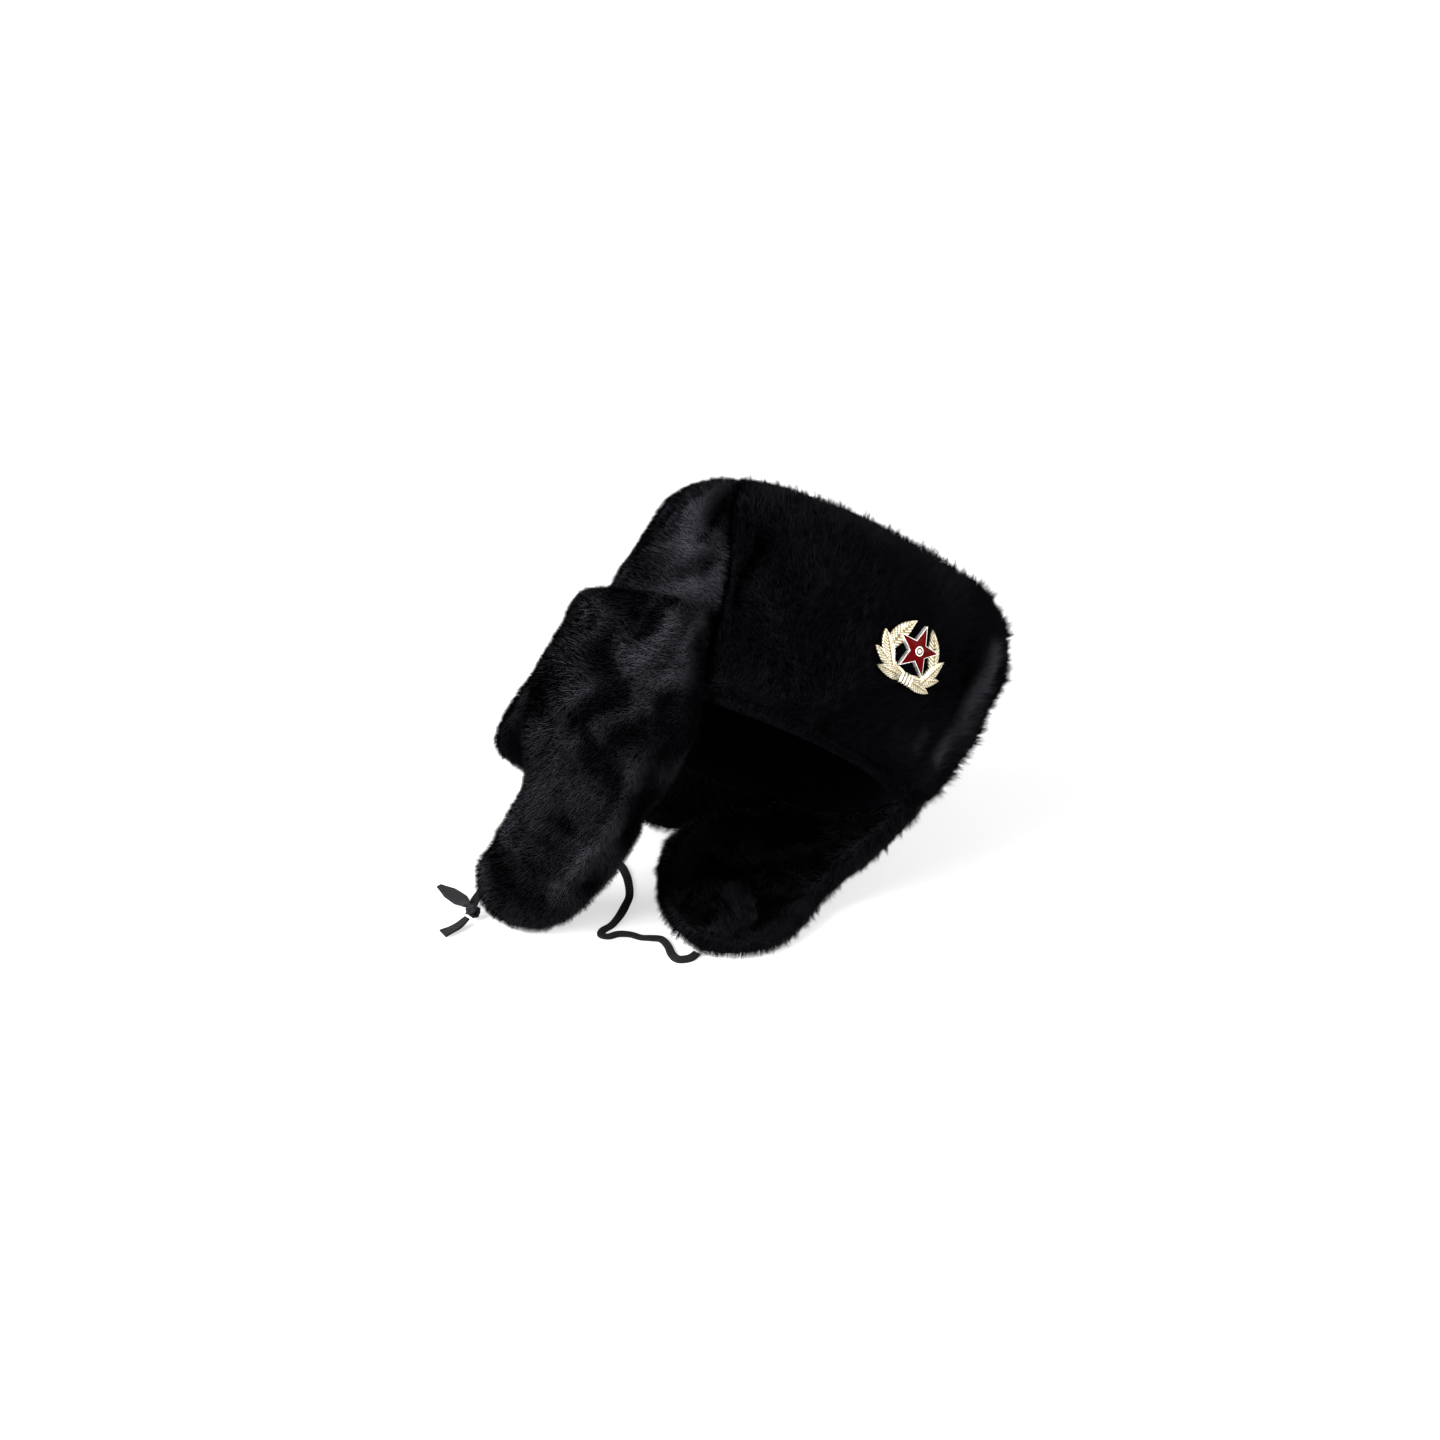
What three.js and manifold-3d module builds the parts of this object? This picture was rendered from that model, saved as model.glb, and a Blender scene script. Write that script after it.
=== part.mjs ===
// Fur hat with ear flaps, rolled onto its left side as it lies on a table.
// Millimetres, +Z up, floor at z = 0. The front of the hat looks towards -Y.
//
// The head part is modelled upright in its own group: x to the wearer's left, -y to the
// front, z to the crown, with the centre of the head opening as its origin. That group is
// then rolled and pitched. The flaps that reach the floor are modelled in the lying frame.

import * as THREE from 'three';
import { mergeVertices } from 'three/addons/utils/BufferGeometryUtils.js';
import Module from 'manifold-3d';

const wasm = await Module();
wasm.setup();

// How the hat lies.
const ROLL = THREE.MathUtils.degToRad(44.5);
const PITCH = THREE.MathUtils.degToRad(24);
const RIM_HEIGHT = 85;
const LIE_SHIFT = { x: -13.64, y: 5.37 };

// Head opening, half axes of the outer fur at the rim.
const HEAD = { side: 94, front: 107, back: 86 };

// Crown: one padded wall with the fur on it, thin where the flaps are sewn over it.
const CROWN_WALL = 11;
const BAND_WALL = 4;
const BAND_TOP = { from: 34, to: 39.5 };
const BAND_FRONT_ANGLE = { from: 42, to: 47 };
// Its wall thickens level towards the inside up to a height, and more downwards above that.
const CROWN_INWARD = { levelTo: 60, drop: 0.9 };

// Where flaps cover the crown, its fur is pressed flat: angles in front, heights elsewhere.
const COVERED = { frontFrom: 62, frontTo: 76, highFrom: 106, highTo: 118, lowFrom: 50, lowTo: 62 };

// Flap layer sewn round the sides and the back of the band.
const FLAP_THICK = 14.5;
const FLAP_TOP = 43;
const FLAP_FULL = 28;
const FLAP_TOP_THICK = 7.5;
const SEAM_GAP = 1.0;
// It steps in below the fur of the crown between these heights.
const FLAP_STEP_IN = { from: 27, to: 35 };

// Badge: star radius, and its centre from the front's middle line and above the rim.
const BADGE = { star: 12.6, aside: -3.1, height: 55.5, seat: 1.3, bend: 80 };

// Tie: a woven tape, its width and thickness.
const TIE = { width: 4.5, thick: 1.8, endWidth: 7.5 };

const DEG = Math.PI / 180;
const UP = new THREE.Vector3(0, 0, 1);
const lerp = THREE.MathUtils.lerp;
const smooth = THREE.MathUtils.smoothstep;

// Finishes.
const FUR = new THREE.MeshStandardMaterial({ color: 0x1b1b1f, roughness: 0.85, metalness: 0 });
const GILT = new THREE.MeshStandardMaterial({ color: 0xe6d9a6, roughness: 0.35, metalness: 1 });
const ENAMEL = new THREE.MeshStandardMaterial({ color: 0x8c1420, roughness: 0.2, metalness: 0 });
const TAPE = new THREE.MeshStandardMaterial({ color: 0x2b2a31, roughness: 0.8, metalness: 0 });

// Small helpers for tables, folds and edges.

// Value of a column of a table at a place, run smoothly between its rows.
function fromTable(rows, key, column, at) {
  if (at <= rows[0][key]) return rows[0][column];
  for (let i = 1; i < rows.length; i += 1) {
    if (at <= rows[i][key]) {
      const share = smooth(at, rows[i - 1][key], rows[i][key]);
      return lerp(rows[i - 1][column], rows[i][column], share);
    }
  }
  return rows[rows.length - 1][column];
}

// Difference of two angles in degrees, taken the short way round.
function turnBetween(angle, other) {
  return ((((angle - other + 180) % 360) + 360) % 360) - 180;
}

// Sum of the dents and ridges of a table at an angle and a height.
function foldDepth(folds, angle, height) {
  let depth = 0;
  for (const fold of folds) {
    const turn = turnBetween(angle, fold.angle + fold.slant * (height - fold.height));
    const across = turn / fold.reachAngle;
    const along = (height - fold.height) / fold.reachHeight;
    depth += fold.depth * Math.exp(-across * across - along * along);
  }
  return depth;
}

// Quarter round for the edge of a padded wall: 0 at the edge, 1 from the given depth on.
function edgeRound(depth, radius) {
  const share = THREE.MathUtils.clamp(depth / radius, 0, 1);
  return Math.sqrt(share * (2 - share));
}

// Shares from 0 to 1 that crowd towards both ends, where the edge turns round.
function crowdedSteps(count, edges) {
  const inner = edges[edges.length - 1];
  const list = [...edges];
  for (let i = 1; i < count; i += 1) list.push(lerp(inner, 1 - inner, i / count));
  for (const edge of [...edges].reverse()) list.push(1 - edge);
  return list;
}

// Soft lumps of the pile, a few waves that never line up; thin edges have less of them.
const LUMPS_FULL_THICK = 5;
const PILE_LUMPS = [
  { size: 0.9, x: 0.14, y: 0.09, z: -0.12, phase: 0.4 },
  { size: 0.7, x: -0.11, y: 0.16, z: 0.07, phase: 2.1 },
  { size: 0.6, x: 0.05, y: -0.13, z: 0.19, phase: 4.0 },
];

function pileLump(point) {
  let lump = 0;
  for (const wave of PILE_LUMPS) {
    lump += wave.size * Math.sin(wave.x * point.x + wave.y * point.y + wave.z * point.z + wave.phase);
  }
  return lump;
}

// Merges shared corners and drops the faces that shrank to a line or lie back to back.
function tidyMesh(positions, grid = 0.01) {
  const loose = new THREE.BufferGeometry();
  const snapped = positions.map((value) => Math.round(value / grid) * grid);
  loose.setAttribute('position', new THREE.Float32BufferAttribute(snapped, 3));
  const merged = mergeVertices(loose, 1e-3);
  const index = merged.getIndex().array;
  const faces = new Map();
  for (let i = 0; i < index.length; i += 3) {
    const corners = [index[i], index[i + 1], index[i + 2]];
    if (new Set(corners).size < 3) continue;
    const key = [...corners].sort((a, b) => a - b).join();
    if (faces.has(key)) faces.delete(key);
    else faces.set(key, corners);
  }
  merged.setIndex([...faces.values()].flat());
  merged.computeVertexNormals();
  return merged;
}

// Closes two sheets, half a thickness either side of a middle sheet, into one solid.
// The middle sheet is a function of u across and v along; a ring is closed across.
// The first sheet is the outer face; lumps gives each face its share of the pile's lumps.
function paddedSolid({ middle, half, across, along, ring = false, floor = null, fold, lumps }) {
  const sheets = [[], []];
  const small = 1e-3;
  for (const v of along) {
    for (const u of across) {
      const here = middle(u, v);
      const stepU = ring || u < 0.5 ? small : -small;
      const stepV = v < 0.5 ? small : -small;
      const alongU = middle(u + stepU, v).sub(here).multiplyScalar(Math.sign(stepU));
      const alongV = middle(u, v + stepV).sub(here).multiplyScalar(Math.sign(stepV));
      const normal = new THREE.Vector3().crossVectors(alongU, alongV);
      if (ring && v > 0.999) normal.copy(UP);
      normal.normalize();
      const thick = half(u, v);
      here.addScaledVector(normal, fold ? fold(u, v) : 0);
      sheets.forEach((sheet, side) => {
        const soft = pileLump(here) * Math.min(1, thick / LUMPS_FULL_THICK) * lumps(u, v)[side];
        const reach = thick > 0 ? thick + soft : 0;
        const point = here.clone().addScaledVector(normal, side === 0 ? reach : -reach);
        if (floor !== null) point.z = Math.max(point.z, floor);
        sheet.push(point);
      });
    }
  }
  const columns = across.length;
  const spans = ring ? columns : columns - 1;
  const positions = [];
  const face = (...points) => points.forEach((p) => positions.push(p.x, p.y, p.z));
  for (let row = 0; row < along.length - 1; row += 1) {
    for (let column = 0; column < spans; column += 1) {
      const next = (column + 1) % columns;
      sheets.forEach((sheet, side) => {
        const a = sheet[row * columns + column];
        const b = sheet[row * columns + next];
        const c = sheet[(row + 1) * columns + next];
        const d = sheet[(row + 1) * columns + column];
        if (side === 0) {
          face(a, b, c);
          face(a, c, d);
        } else {
          face(a, c, b);
          face(a, d, c);
        }
      });
    }
  }
  return tidyMesh(positions);
}

function named(name, geometry, material) {
  const mesh = new THREE.Mesh(geometry, material);
  mesh.name = name;
  return mesh;
}

const hat = new THREE.Group();
hat.position.set(0, 0, RIM_HEIGHT);
hat.rotation.set(-PITCH, ROLL, 0);
hat.updateMatrix();
const laid = (point) => point.applyMatrix4(hat.matrix);

// Crown.

// Spread of the crown at each height, as a share of the rim.
const CROWN_SECTIONS = [
  { height: 0, spread: 1.0 },
  { height: 18, spread: 1.0 },
  { height: 38, spread: 0.99 },
  { height: 58, spread: 0.965 },
  { height: 76, spread: 0.93 },
  { height: 93, spread: 0.87 },
  { height: 108, spread: 0.75 },
  { height: 119, spread: 0.56 },
  { height: 125, spread: 0.3 },
  { height: 126, spread: 0.0 },
];

// Dents and ridges of the crown: where they are, how deep, and how far they reach.
const CROWN_FOLDS = [
  { angle: 122, height: 50, depth: -14, reachAngle: 27, reachHeight: 40, slant: 0 },
  { angle: 72, height: 76, depth: 3, reachAngle: 12, reachHeight: 30, slant: 0.1 },
  { angle: 116, height: 90, depth: -6.5, reachAngle: 28, reachHeight: 20, slant: 0 },
  { angle: 90, height: 116, depth: 5, reachAngle: 34, reachHeight: 14, slant: 0 },
  { angle: 92, height: 92, depth: -3, reachAngle: 11, reachHeight: 20, slant: -0.2 },
  { angle: -95, height: 64, depth: -5, reachAngle: 26, reachHeight: 20, slant: 0 },
  { angle: -64, height: -2, depth: -8, reachAngle: 34, reachHeight: 34, slant: 0 },
  { angle: -46, height: 74, depth: 3.5, reachAngle: 24, reachHeight: 24, slant: 0 },
  { angle: 180, height: 80, depth: -5, reachAngle: 24, reachHeight: 20, slant: 0 },
  { angle: 218, height: 72, depth: 3, reachAngle: 14, reachHeight: 22, slant: 0.15 },
];

const crownProfile = new THREE.SplineCurve(
  CROWN_SECTIONS.map((row) => new THREE.Vector2(row.spread, row.height)),
);

const PROFILE_HALVINGS = 24;

// Place on the profile, from 0 at the rim to 1 at the top, that has a height.
function profilePlace(height) {
  let low = 0;
  let high = 1;
  for (let step = 0; step < PROFILE_HALVINGS; step += 1) {
    const middle = (low + high) / 2;
    if (crownProfile.getPoint(middle).y < height) low = middle;
    else high = middle;
  }
  return low;
}

const crownSpread = (height) => crownProfile.getPoint(profilePlace(height)).x;

// A point of the outer crown, with the angle from the front towards the wearer's right.
function headPoint(angle, height, offset = 0, spread = crownSpread(height)) {
  const turn = angle * DEG;
  const deep = Math.cos(turn) > 0 ? HEAD.front : HEAD.back;
  const out = new THREE.Vector3(-Math.sin(turn) * deep, -Math.cos(turn) * HEAD.side, 0).normalize();
  const dent = foldDepth(CROWN_FOLDS, angle, height) * Math.min(1, 2 * spread);
  const point = new THREE.Vector3(-Math.sin(turn) * HEAD.side, -Math.cos(turn) * deep, 0);
  return point.multiplyScalar(spread).setZ(height).addScaledVector(out, offset + dent);
}

// How far the wall is the bare band that the flaps cover, from 0 to 1.
function bandShare(angle, height) {
  const side = smooth(Math.abs(turnBetween(angle, 0)), BAND_FRONT_ANGLE.from, BAND_FRONT_ANGLE.to);
  return side * (1 - smooth(height, BAND_TOP.from, BAND_TOP.to));
}

function makeCrown() {
  const columns = 48;
  const domeRows = 8;
  const lowHeights = [0, 1, 3, 6, 18, 29, 33.5, 36.5, 40, 52];
  const domeStart = profilePlace(lowHeights[lowHeights.length - 1]);
  const places = lowHeights.map(profilePlace);
  for (let i = 1; i <= domeRows; i += 1) places.push(lerp(domeStart, 1, i / domeRows));
  places[0] = 0;

  const wall = (angle, height) => lerp(CROWN_WALL, BAND_WALL, bandShare(angle, height));
  const middle = (u, v) => {
    const angle = -360 * u;
    const place = crownProfile.getPoint(v);
    const inward = CROWN_WALL - wall(angle, place.y) / 2;
    const point = headPoint(angle, place.y, 0, place.x);
    const down = CROWN_INWARD.drop * Math.max(0, place.y - CROWN_INWARD.levelTo);
    const toInside = new THREE.Vector3(-point.x, -point.y, -down);
    return point.addScaledVector(toInside.normalize(), inward);
  };
  const half = (u, v) => {
    const height = crownProfile.getPoint(v).y;
    const thick = wall(-360 * u, height) / 2;
    return thick * edgeRound(height, thick);
  };
  const across = Array.from({ length: columns }, (_, i) => i / columns);
  const lumps = (u, v) => {
    const { y: height } = crownProfile.getPoint(v);
    const front = smooth(Math.abs(turnBetween(-360 * u, 0)), COVERED.frontFrom, COVERED.frontTo);
    const above = smooth(height, COVERED.highFrom, COVERED.highTo);
    const below = 1 - smooth(height, COVERED.lowFrom, COVERED.lowTo);
    return [Math.max(front, above) * (1 - below), 0];
  };
  return paddedSolid({ middle, half, across, along: places, ring: true, lumps });
}

// Front flap, turned up over the forehead.

const FRONT_FLAP = { thick: 14, gap: 0.7, tall: 104, deepestDent: 0.4 };
// Its fur is flat under the badge, and its lumps begin round it.
const BADGE_REST = { perDegree: 1.9, from: 24, to: 38 };
// Its side edges by height: angles of the end on the wearer's right and on the left.
const FRONT_FLAP_SIDES = [
  { share: 0, right: 46.5, left: -35 },
  { share: 0.35, right: 50, left: -47 },
  { share: 1, right: 59, left: -58 },
];
// Its lower and upper edge by angle, from the wearer's left to the right.
const FRONT_FLAP_EDGES = [
  { angle: -60, low: 20, high: 98 },
  { angle: -38, low: 9, high: 102 },
  { angle: -24, low: -2, high: 104 },
  { angle: 0, low: -1, high: 105 },
  { angle: 22, low: 1, high: 106 },
  { angle: 60, low: 3, high: 106 },
];
// How it stands off the crown, out from the rim line.
const FRONT_FLAP_LEAN = [
  { height: 0, out: 0 },
  { height: 40, out: 0.5 },
  { height: 75, out: 0 },
  { height: 106, out: -4 },
];
const FRONT_FLAP_FOLDS = [
  { angle: -16, height: 30, depth: -3.5, reachAngle: 5.5, reachHeight: 32, slant: 0.05 },
  { angle: -27, height: 40, depth: 3, reachAngle: 6, reachHeight: 38, slant: 0.05 },
  { angle: -38, height: 46, depth: -4, reachAngle: 6, reachHeight: 30, slant: 0.05 },
  { angle: 34, height: 70, depth: 2.5, reachAngle: 12, reachHeight: 22, slant: 0 },
  { angle: 49, height: 82, depth: -2.5, reachAngle: 6, reachHeight: 28, slant: -0.1 },
];

function makeFrontFlap() {
  const { thick, gap, tall } = FRONT_FLAP;
  const place = (u, v) => {
    const right = fromTable(FRONT_FLAP_SIDES, 'share', 'right', v);
    const left = fromTable(FRONT_FLAP_SIDES, 'share', 'left', v);
    const angle = lerp(right, left, u);
    const low = fromTable(FRONT_FLAP_EDGES, 'angle', 'low', angle);
    const high = fromTable(FRONT_FLAP_EDGES, 'angle', 'high', angle);
    return { angle, height: lerp(low, high, v), width: (right - left) * DEG * HEAD.front };
  };
  const middle = (u, v) => {
    const { angle, height } = place(u, v);
    const lean = fromTable(FRONT_FLAP_LEAN, 'height', 'out', height);
    return headPoint(angle, height, gap + thick / 2 + lean, 1);
  };
  const half = (u, v) => {
    const sideEdge = Math.min(u, 1 - u) * place(u, v).width;
    const endEdge = Math.min(v, 1 - v) * tall;
    return (thick / 2) * edgeRound(sideEdge, thick / 2) * edgeRound(endEdge, thick / 2);
  };
  const fold = (u, v) => {
    const { angle, height } = place(u, v);
    return Math.max(-FRONT_FLAP.deepestDent, foldDepth(FRONT_FLAP_FOLDS, angle, height));
  };
  const lumps = (u, v) => {
    const { angle, height } = place(u, v);
    const fromBadge = Math.hypot(angle * BADGE_REST.perDegree, height - BADGE.height);
    return [smooth(fromBadge, BADGE_REST.from, BADGE_REST.to), 0];
  };
  const across = crowdedSteps(26, [0, 0.006, 0.02, 0.04]);
  const along = crowdedSteps(9, [0, 0.012, 0.035, 0.07]);
  return paddedSolid({ middle, half, across, along, fold, lumps });
}

// Flaps round the sides and the back.

// Middle of the flap layer out from the crown: it steps in below the crown's fur.
function layerMiddle(height) {
  const stepIn = 1 - smooth(height, FLAP_STEP_IN.from, FLAP_STEP_IN.to);
  const thick = lerp(FLAP_THICK, FLAP_TOP_THICK, smooth(height, FLAP_FULL, FLAP_TOP));
  return SEAM_GAP - stepIn * (CROWN_WALL - BAND_WALL) + thick / 2;
}

// A station across a flap: a line on the band round the head.
function bandStation({ height, from, to, flare = 0, dip = 0 }) {
  return (u) => {
    const angle = lerp(from, to, u);
    const spread = crownSpread(Math.max(height, 0));
    return laid(headPoint(angle, height - dip * (1 - u), layerMiddle(height) + flare, spread));
  };
}

// A station across a free part of a flap: from its front edge to its back edge, bowed out.
function freeStation({ front, back, bow }) {
  const [a, b, c] = [front, back, bow].map((values) => new THREE.Vector3(...values));
  return (u) => a.clone().lerp(b, u).addScaledVector(c, 4 * u * (1 - u));
}

// Sections on the band: height, the angles of the front and back edge, how far the flap
// flares out, and how much lower it hangs on the wearer's right.
const RIGHT_BAND = [
  { height: FLAP_TOP, from: 51, to: 117 },
  { height: 36, from: 50.5, to: 117.5 },
  { height: FLAP_FULL, from: 49.5, to: 118.5 },
  { height: 0, from: 47, to: 120 },
];
const LEFT_BAND = [
  { height: FLAP_TOP, from: -51, to: -121 },
  { height: 36, from: -51, to: -121 },
  { height: FLAP_FULL, from: -51, to: -121 },
  { height: 0, from: -54, to: -124 },
];
const NECK_BAND = [
  { height: FLAP_TOP, from: 118.5, to: 237.5 },
  { height: 36, from: 119, to: 237.5 },
  { height: FLAP_FULL, from: 120, to: 237 },
  { height: 0, from: 122.5, to: 234.5, flare: 2 },
  { height: -16, from: 127, to: 222.5, flare: 6, dip: 4 },
  { height: -30, from: 133, to: 211, flare: 9, dip: 8 },
];

// Sections of the two ear flaps below the rim, in the lying frame.
const RIGHT_SECTIONS = [
  { front: [-55, -49, 140], back: [-72, 53, 101], bow: [-12, 0, 5] },
  { front: [-60, -38, 112], back: [-74, 54, 74], bow: [-9, -5, 2] },
  { front: [-61, -21, 80], back: [-81, 62, 50], bow: [-7, -6, 0] },
  { front: [-65, -9, 55], back: [-91, 68, 31], bow: [-5, -6, 0] },
  { front: [-70, 4, 33], back: [-97, 69, 18], bow: [-4, -5, 0] },
  { front: [-77, 18, 15], back: [-99, 63, 9.5], bow: [-3, -3, 0] },
  { front: [-84.5, 31, 1.5], back: [-99, 56, 1.5], bow: [-2, -1, 0] },
];
const LEFT_SECTIONS = [
  { front: [29, -65, 52], back: [48.5, 24, 13], bow: [18, -9, -18] },
  { front: [27, -58, 38], back: [35.5, 34.5, 13.5], bow: [15, -9, -15] },
  { front: [26, -53, 23], back: [18, 43.5, 12], bow: [9, -6, -10] },
  { front: [22, -50, 11], back: [-3, 40, 8], bow: [3, -2, -3] },
  { front: [12, -54, 7], back: [-19, 25, 6.5], bow: [0, 0, 0] },
  { front: [-2, -57, 6.5], back: [-30, 12, 6.5], bow: [0, 0, 0] },
  { front: [-15, -57, 6.5], back: [-38, -3, 6.5], bow: [0, 0, 0] },
  { front: [-26, -52, 6.5], back: [-41, -20, 6.5], bow: [0, 0, 0] },
  { front: [-31.5, -47, 6.5], back: [-40.5, -33, 6.5], bow: [-2, -1.5, 0] },
];

// Folds of the flaps in shares of their width and length.
const RIGHT_FOLDS = [
  { across: 0.24, along: 0.6, depth: 4, reachAcross: 0.09, reachAlong: 0.26, slant: 0.25 },
  { across: 0.1, along: 0.55, depth: -3, reachAcross: 0.08, reachAlong: 0.22, slant: 0.25 },
  { across: 0.45, along: 0.3, depth: 3.5, reachAcross: 0.15, reachAlong: 0.13, slant: -0.5 },
  { across: 0.7, along: 0.38, depth: -2.5, reachAcross: 0.15, reachAlong: 0.12, slant: -0.5 },
];
const LEFT_FOLDS = [
  { across: 0.35, along: 0.5, depth: -2.5, reachAcross: 0.12, reachAlong: 0.12, slant: 0.3 },
];
const NECK_FOLDS = [
  { across: 0.3, along: 0.65, depth: 3, reachAcross: 0.08, reachAlong: 0.3, slant: 0 },
  { across: 0.55, along: 0.7, depth: -3, reachAcross: 0.09, reachAlong: 0.3, slant: 0 },
];

function flapFold(folds, u, v) {
  let depth = 0;
  for (const fold of folds) {
    const across = (u - fold.across - fold.slant * (v - fold.along)) / fold.reachAcross;
    const along = (v - fold.along) / fold.reachAlong;
    depth += fold.depth * Math.exp(-across * across - along * along);
  }
  return depth;
}

// A flap comes free of the band over a short share of its length; its tip keeps some width.
const FLAP_FREE_SHARE = 0.12;
const FLAP_TIP_WIDTH = 0.2;

// A flap lofted through its stations, from the seam at v = 0 to the tip or hem at v = 1.
// Stations run from the wearer's front to the back; a flap on the left side is turned over.
function makeFlap(flap) {
  const { stations, folds, width, length, rows, sewnShare, tipShare } = flap;
  const { leftSide = false, onFloor = false } = flap;
  const curves = new Map();
  const middle = (share, v) => {
    const u = leftSide ? 1 - share : share;
    const key = u.toFixed(6);
    if (!curves.has(key)) {
      const points = stations.map((station) => station(u));
      curves.set(key, new THREE.CatmullRomCurve3(points, false, 'centripetal'));
    }
    return curves.get(key).getPoint(v);
  };
  const radius = FLAP_THICK / 2;
  const fullShare = 2 / (stations.length - 1);
  const half = (u, v) => {
    const thick = lerp(FLAP_TOP_THICK, FLAP_THICK, smooth(v, 0, fullShare)) / 2;
    const narrow = tipShare > 0 ? Math.max(FLAP_TIP_WIDTH, edgeRound(1 - v, tipShare)) : 1;
    const sideEdge = Math.min(u, 1 - u) * width * narrow;
    const endEdge = Math.min(v, 1 - v) * length;
    return thick * edgeRound(sideEdge, radius) * edgeRound(endEdge, thick);
  };
  const free = (v) => smooth(v, sewnShare, sewnShare + FLAP_FREE_SHARE);
  const fold = (u, v) => free(v) * flapFold(folds, leftSide ? 1 - u : u, v);
  const across = crowdedSteps(11, [0, 0.015, 0.05, 0.1]);
  const along = crowdedSteps(rows, [0, 0.012, 0.03, 0.06]);
  const lumps = (u, v) => (onFloor ? [1 - free(v), free(v)] : [1, 0]);
  return paddedSolid({ middle, half, across, along, floor: 0, fold, lumps });
}

// Badge: a leafy wreath and a raised star in one casting, with an enamel star laid in.

const LEAVES = [
  { base: [2.5, -13.8], tip: [16.4, -14.0], width: 5.8, bow: 0 },
  { base: [6.5, -12.6], tip: [20.1, -6.0], width: 5.8, bow: 0 },
  { base: [11.0, -9.5], tip: [18.7, 2.7], width: 6.2, bow: 0 },
  { base: [13.6, -3.0], tip: [5.0, 13.0], width: 7.4, bow: -0.9 },
  { base: [9.0, -12.0], tip: [13.6, 0.5], width: 5.2, bow: -1.6 },
  { base: [2.0, -12.4], tip: [10.6, -9.4], width: 4.0, bow: -0.8 },
];
const LEAF_SECTIONS = [
  { along: 0, share: 0.45, ridge: 1.5 },
  { along: 0.35, share: 1, ridge: 2.0 },
  { along: 0.72, share: 0.7, ridge: 1.7 },
  { along: 1, share: 0.06, ridge: 0.9 },
];
const LEAF_EDGE = 0.8;
const CASTING_GRID = 0.05;
// Shares of the star's radius: its waist, its rim, the pocket in it and the enamel.
const STAR_WAIST = 0.4;
const STAR_SHARES = { rim: 0.985, pocket: 0.935, enamel: 0.875, enamelTop: 0.35 };

function toManifold(geometry) {
  return new wasm.Manifold(new wasm.Mesh({
    numProp: 3,
    vertProperties: new Float32Array(geometry.getAttribute('position').array),
    triVerts: new Uint32Array(geometry.getIndex().array),
  }));
}

function fromManifold(solid) {
  const mesh = solid.getMesh();
  const positions = [];
  for (const corner of mesh.triVerts) {
    positions.push(...mesh.vertProperties.subarray(3 * corner, 3 * corner + 3));
  }
  return tidyMesh(positions, CASTING_GRID);
}

// Bends a flat casting back round an upright axis, so that it follows the flap.
function bentBack(geometry) {
  const bent = geometry.clone();
  const place = bent.getAttribute('position');
  for (let i = 0; i < place.count; i += 1) {
    place.setZ(i, place.getZ(i) - place.getX(i) ** 2 / (2 * BADGE.bend));
  }
  bent.computeVertexNormals();
  return bent;
}

// Closed solid through rings of the same number of points, capped from its end centres.
function ringSolid(rings) {
  const positions = [];
  const face = (...points) => points.forEach((p) => positions.push(p.x, p.y, p.z));
  const count = rings[0].length;
  for (let row = 0; row < rings.length - 1; row += 1) {
    for (let i = 0; i < count; i += 1) {
      const next = (i + 1) % count;
      face(rings[row][i], rings[row][next], rings[row + 1][next]);
      face(rings[row][i], rings[row + 1][next], rings[row + 1][i]);
    }
  }
  const centreOf = (ring) => ring.reduce((sum, p) => sum.add(p), new THREE.Vector3()).divideScalar(count);
  const first = centreOf(rings[0]);
  const last = centreOf(rings[rings.length - 1]);
  for (let i = 0; i < count; i += 1) {
    const next = (i + 1) % count;
    face(first, rings[0][next], rings[0][i]);
    face(last, rings[rings.length - 1][i], rings[rings.length - 1][next]);
  }
  return tidyMesh(positions);
}

// A leaf with a raised midrib, from its base to its tip; side is 1 or -1 for its mirror.
function leafSolid({ base, tip, width, bow }, side) {
  const start = new THREE.Vector3(base[0] * side, base[1], 0);
  const end = new THREE.Vector3(tip[0] * side, tip[1], 0);
  const run = end.clone().sub(start);
  const sideways = new THREE.Vector3(run.y, -run.x, 0).normalize();
  const rings = LEAF_SECTIONS.map(({ along, share, ridge }) => {
    const centre = start.clone().addScaledVector(run, along);
    centre.addScaledVector(sideways, -side * bow * 4 * along * (1 - along));
    const reach = (width / 2) * share;
    const corner = (out, z) => centre.clone().addScaledVector(sideways, out * reach).setZ(z);
    return [corner(-1, 0), corner(-1, LEAF_EDGE), corner(0, ridge), corner(1, LEAF_EDGE), corner(1, 0)];
  });
  return toManifold(ringSolid(rings));
}

// Outline of a five-pointed star at a height, point up.
function starRing(radius, height) {
  return Array.from({ length: 10 }, (_, i) => {
    const reach = i % 2 === 0 ? radius : radius * STAR_WAIST;
    const turn = (90 + 36 * i) * DEG;
    return new THREE.Vector3(reach * Math.cos(turn), reach * Math.sin(turn), height);
  });
}

function cylinderSolid(radius, low, high, sides = 12) {
  const ring = (z) => Array.from({ length: sides }, (_, i) => {
    const turn = (2 * Math.PI * i) / sides;
    return new THREE.Vector3(radius * Math.cos(turn), radius * Math.sin(turn), z);
  });
  return toManifold(ringSolid([ring(low), ring(high)]));
}

// Ribbon that ties the stems: three ribs over a wrap.
const RIBS = { at: [-2.6, 0, 2.6], size: [1.9, 5.6, 2.4] };
const WRAP = { up: -13.6, size: [7.4, 4.6, 1.8] };

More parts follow.
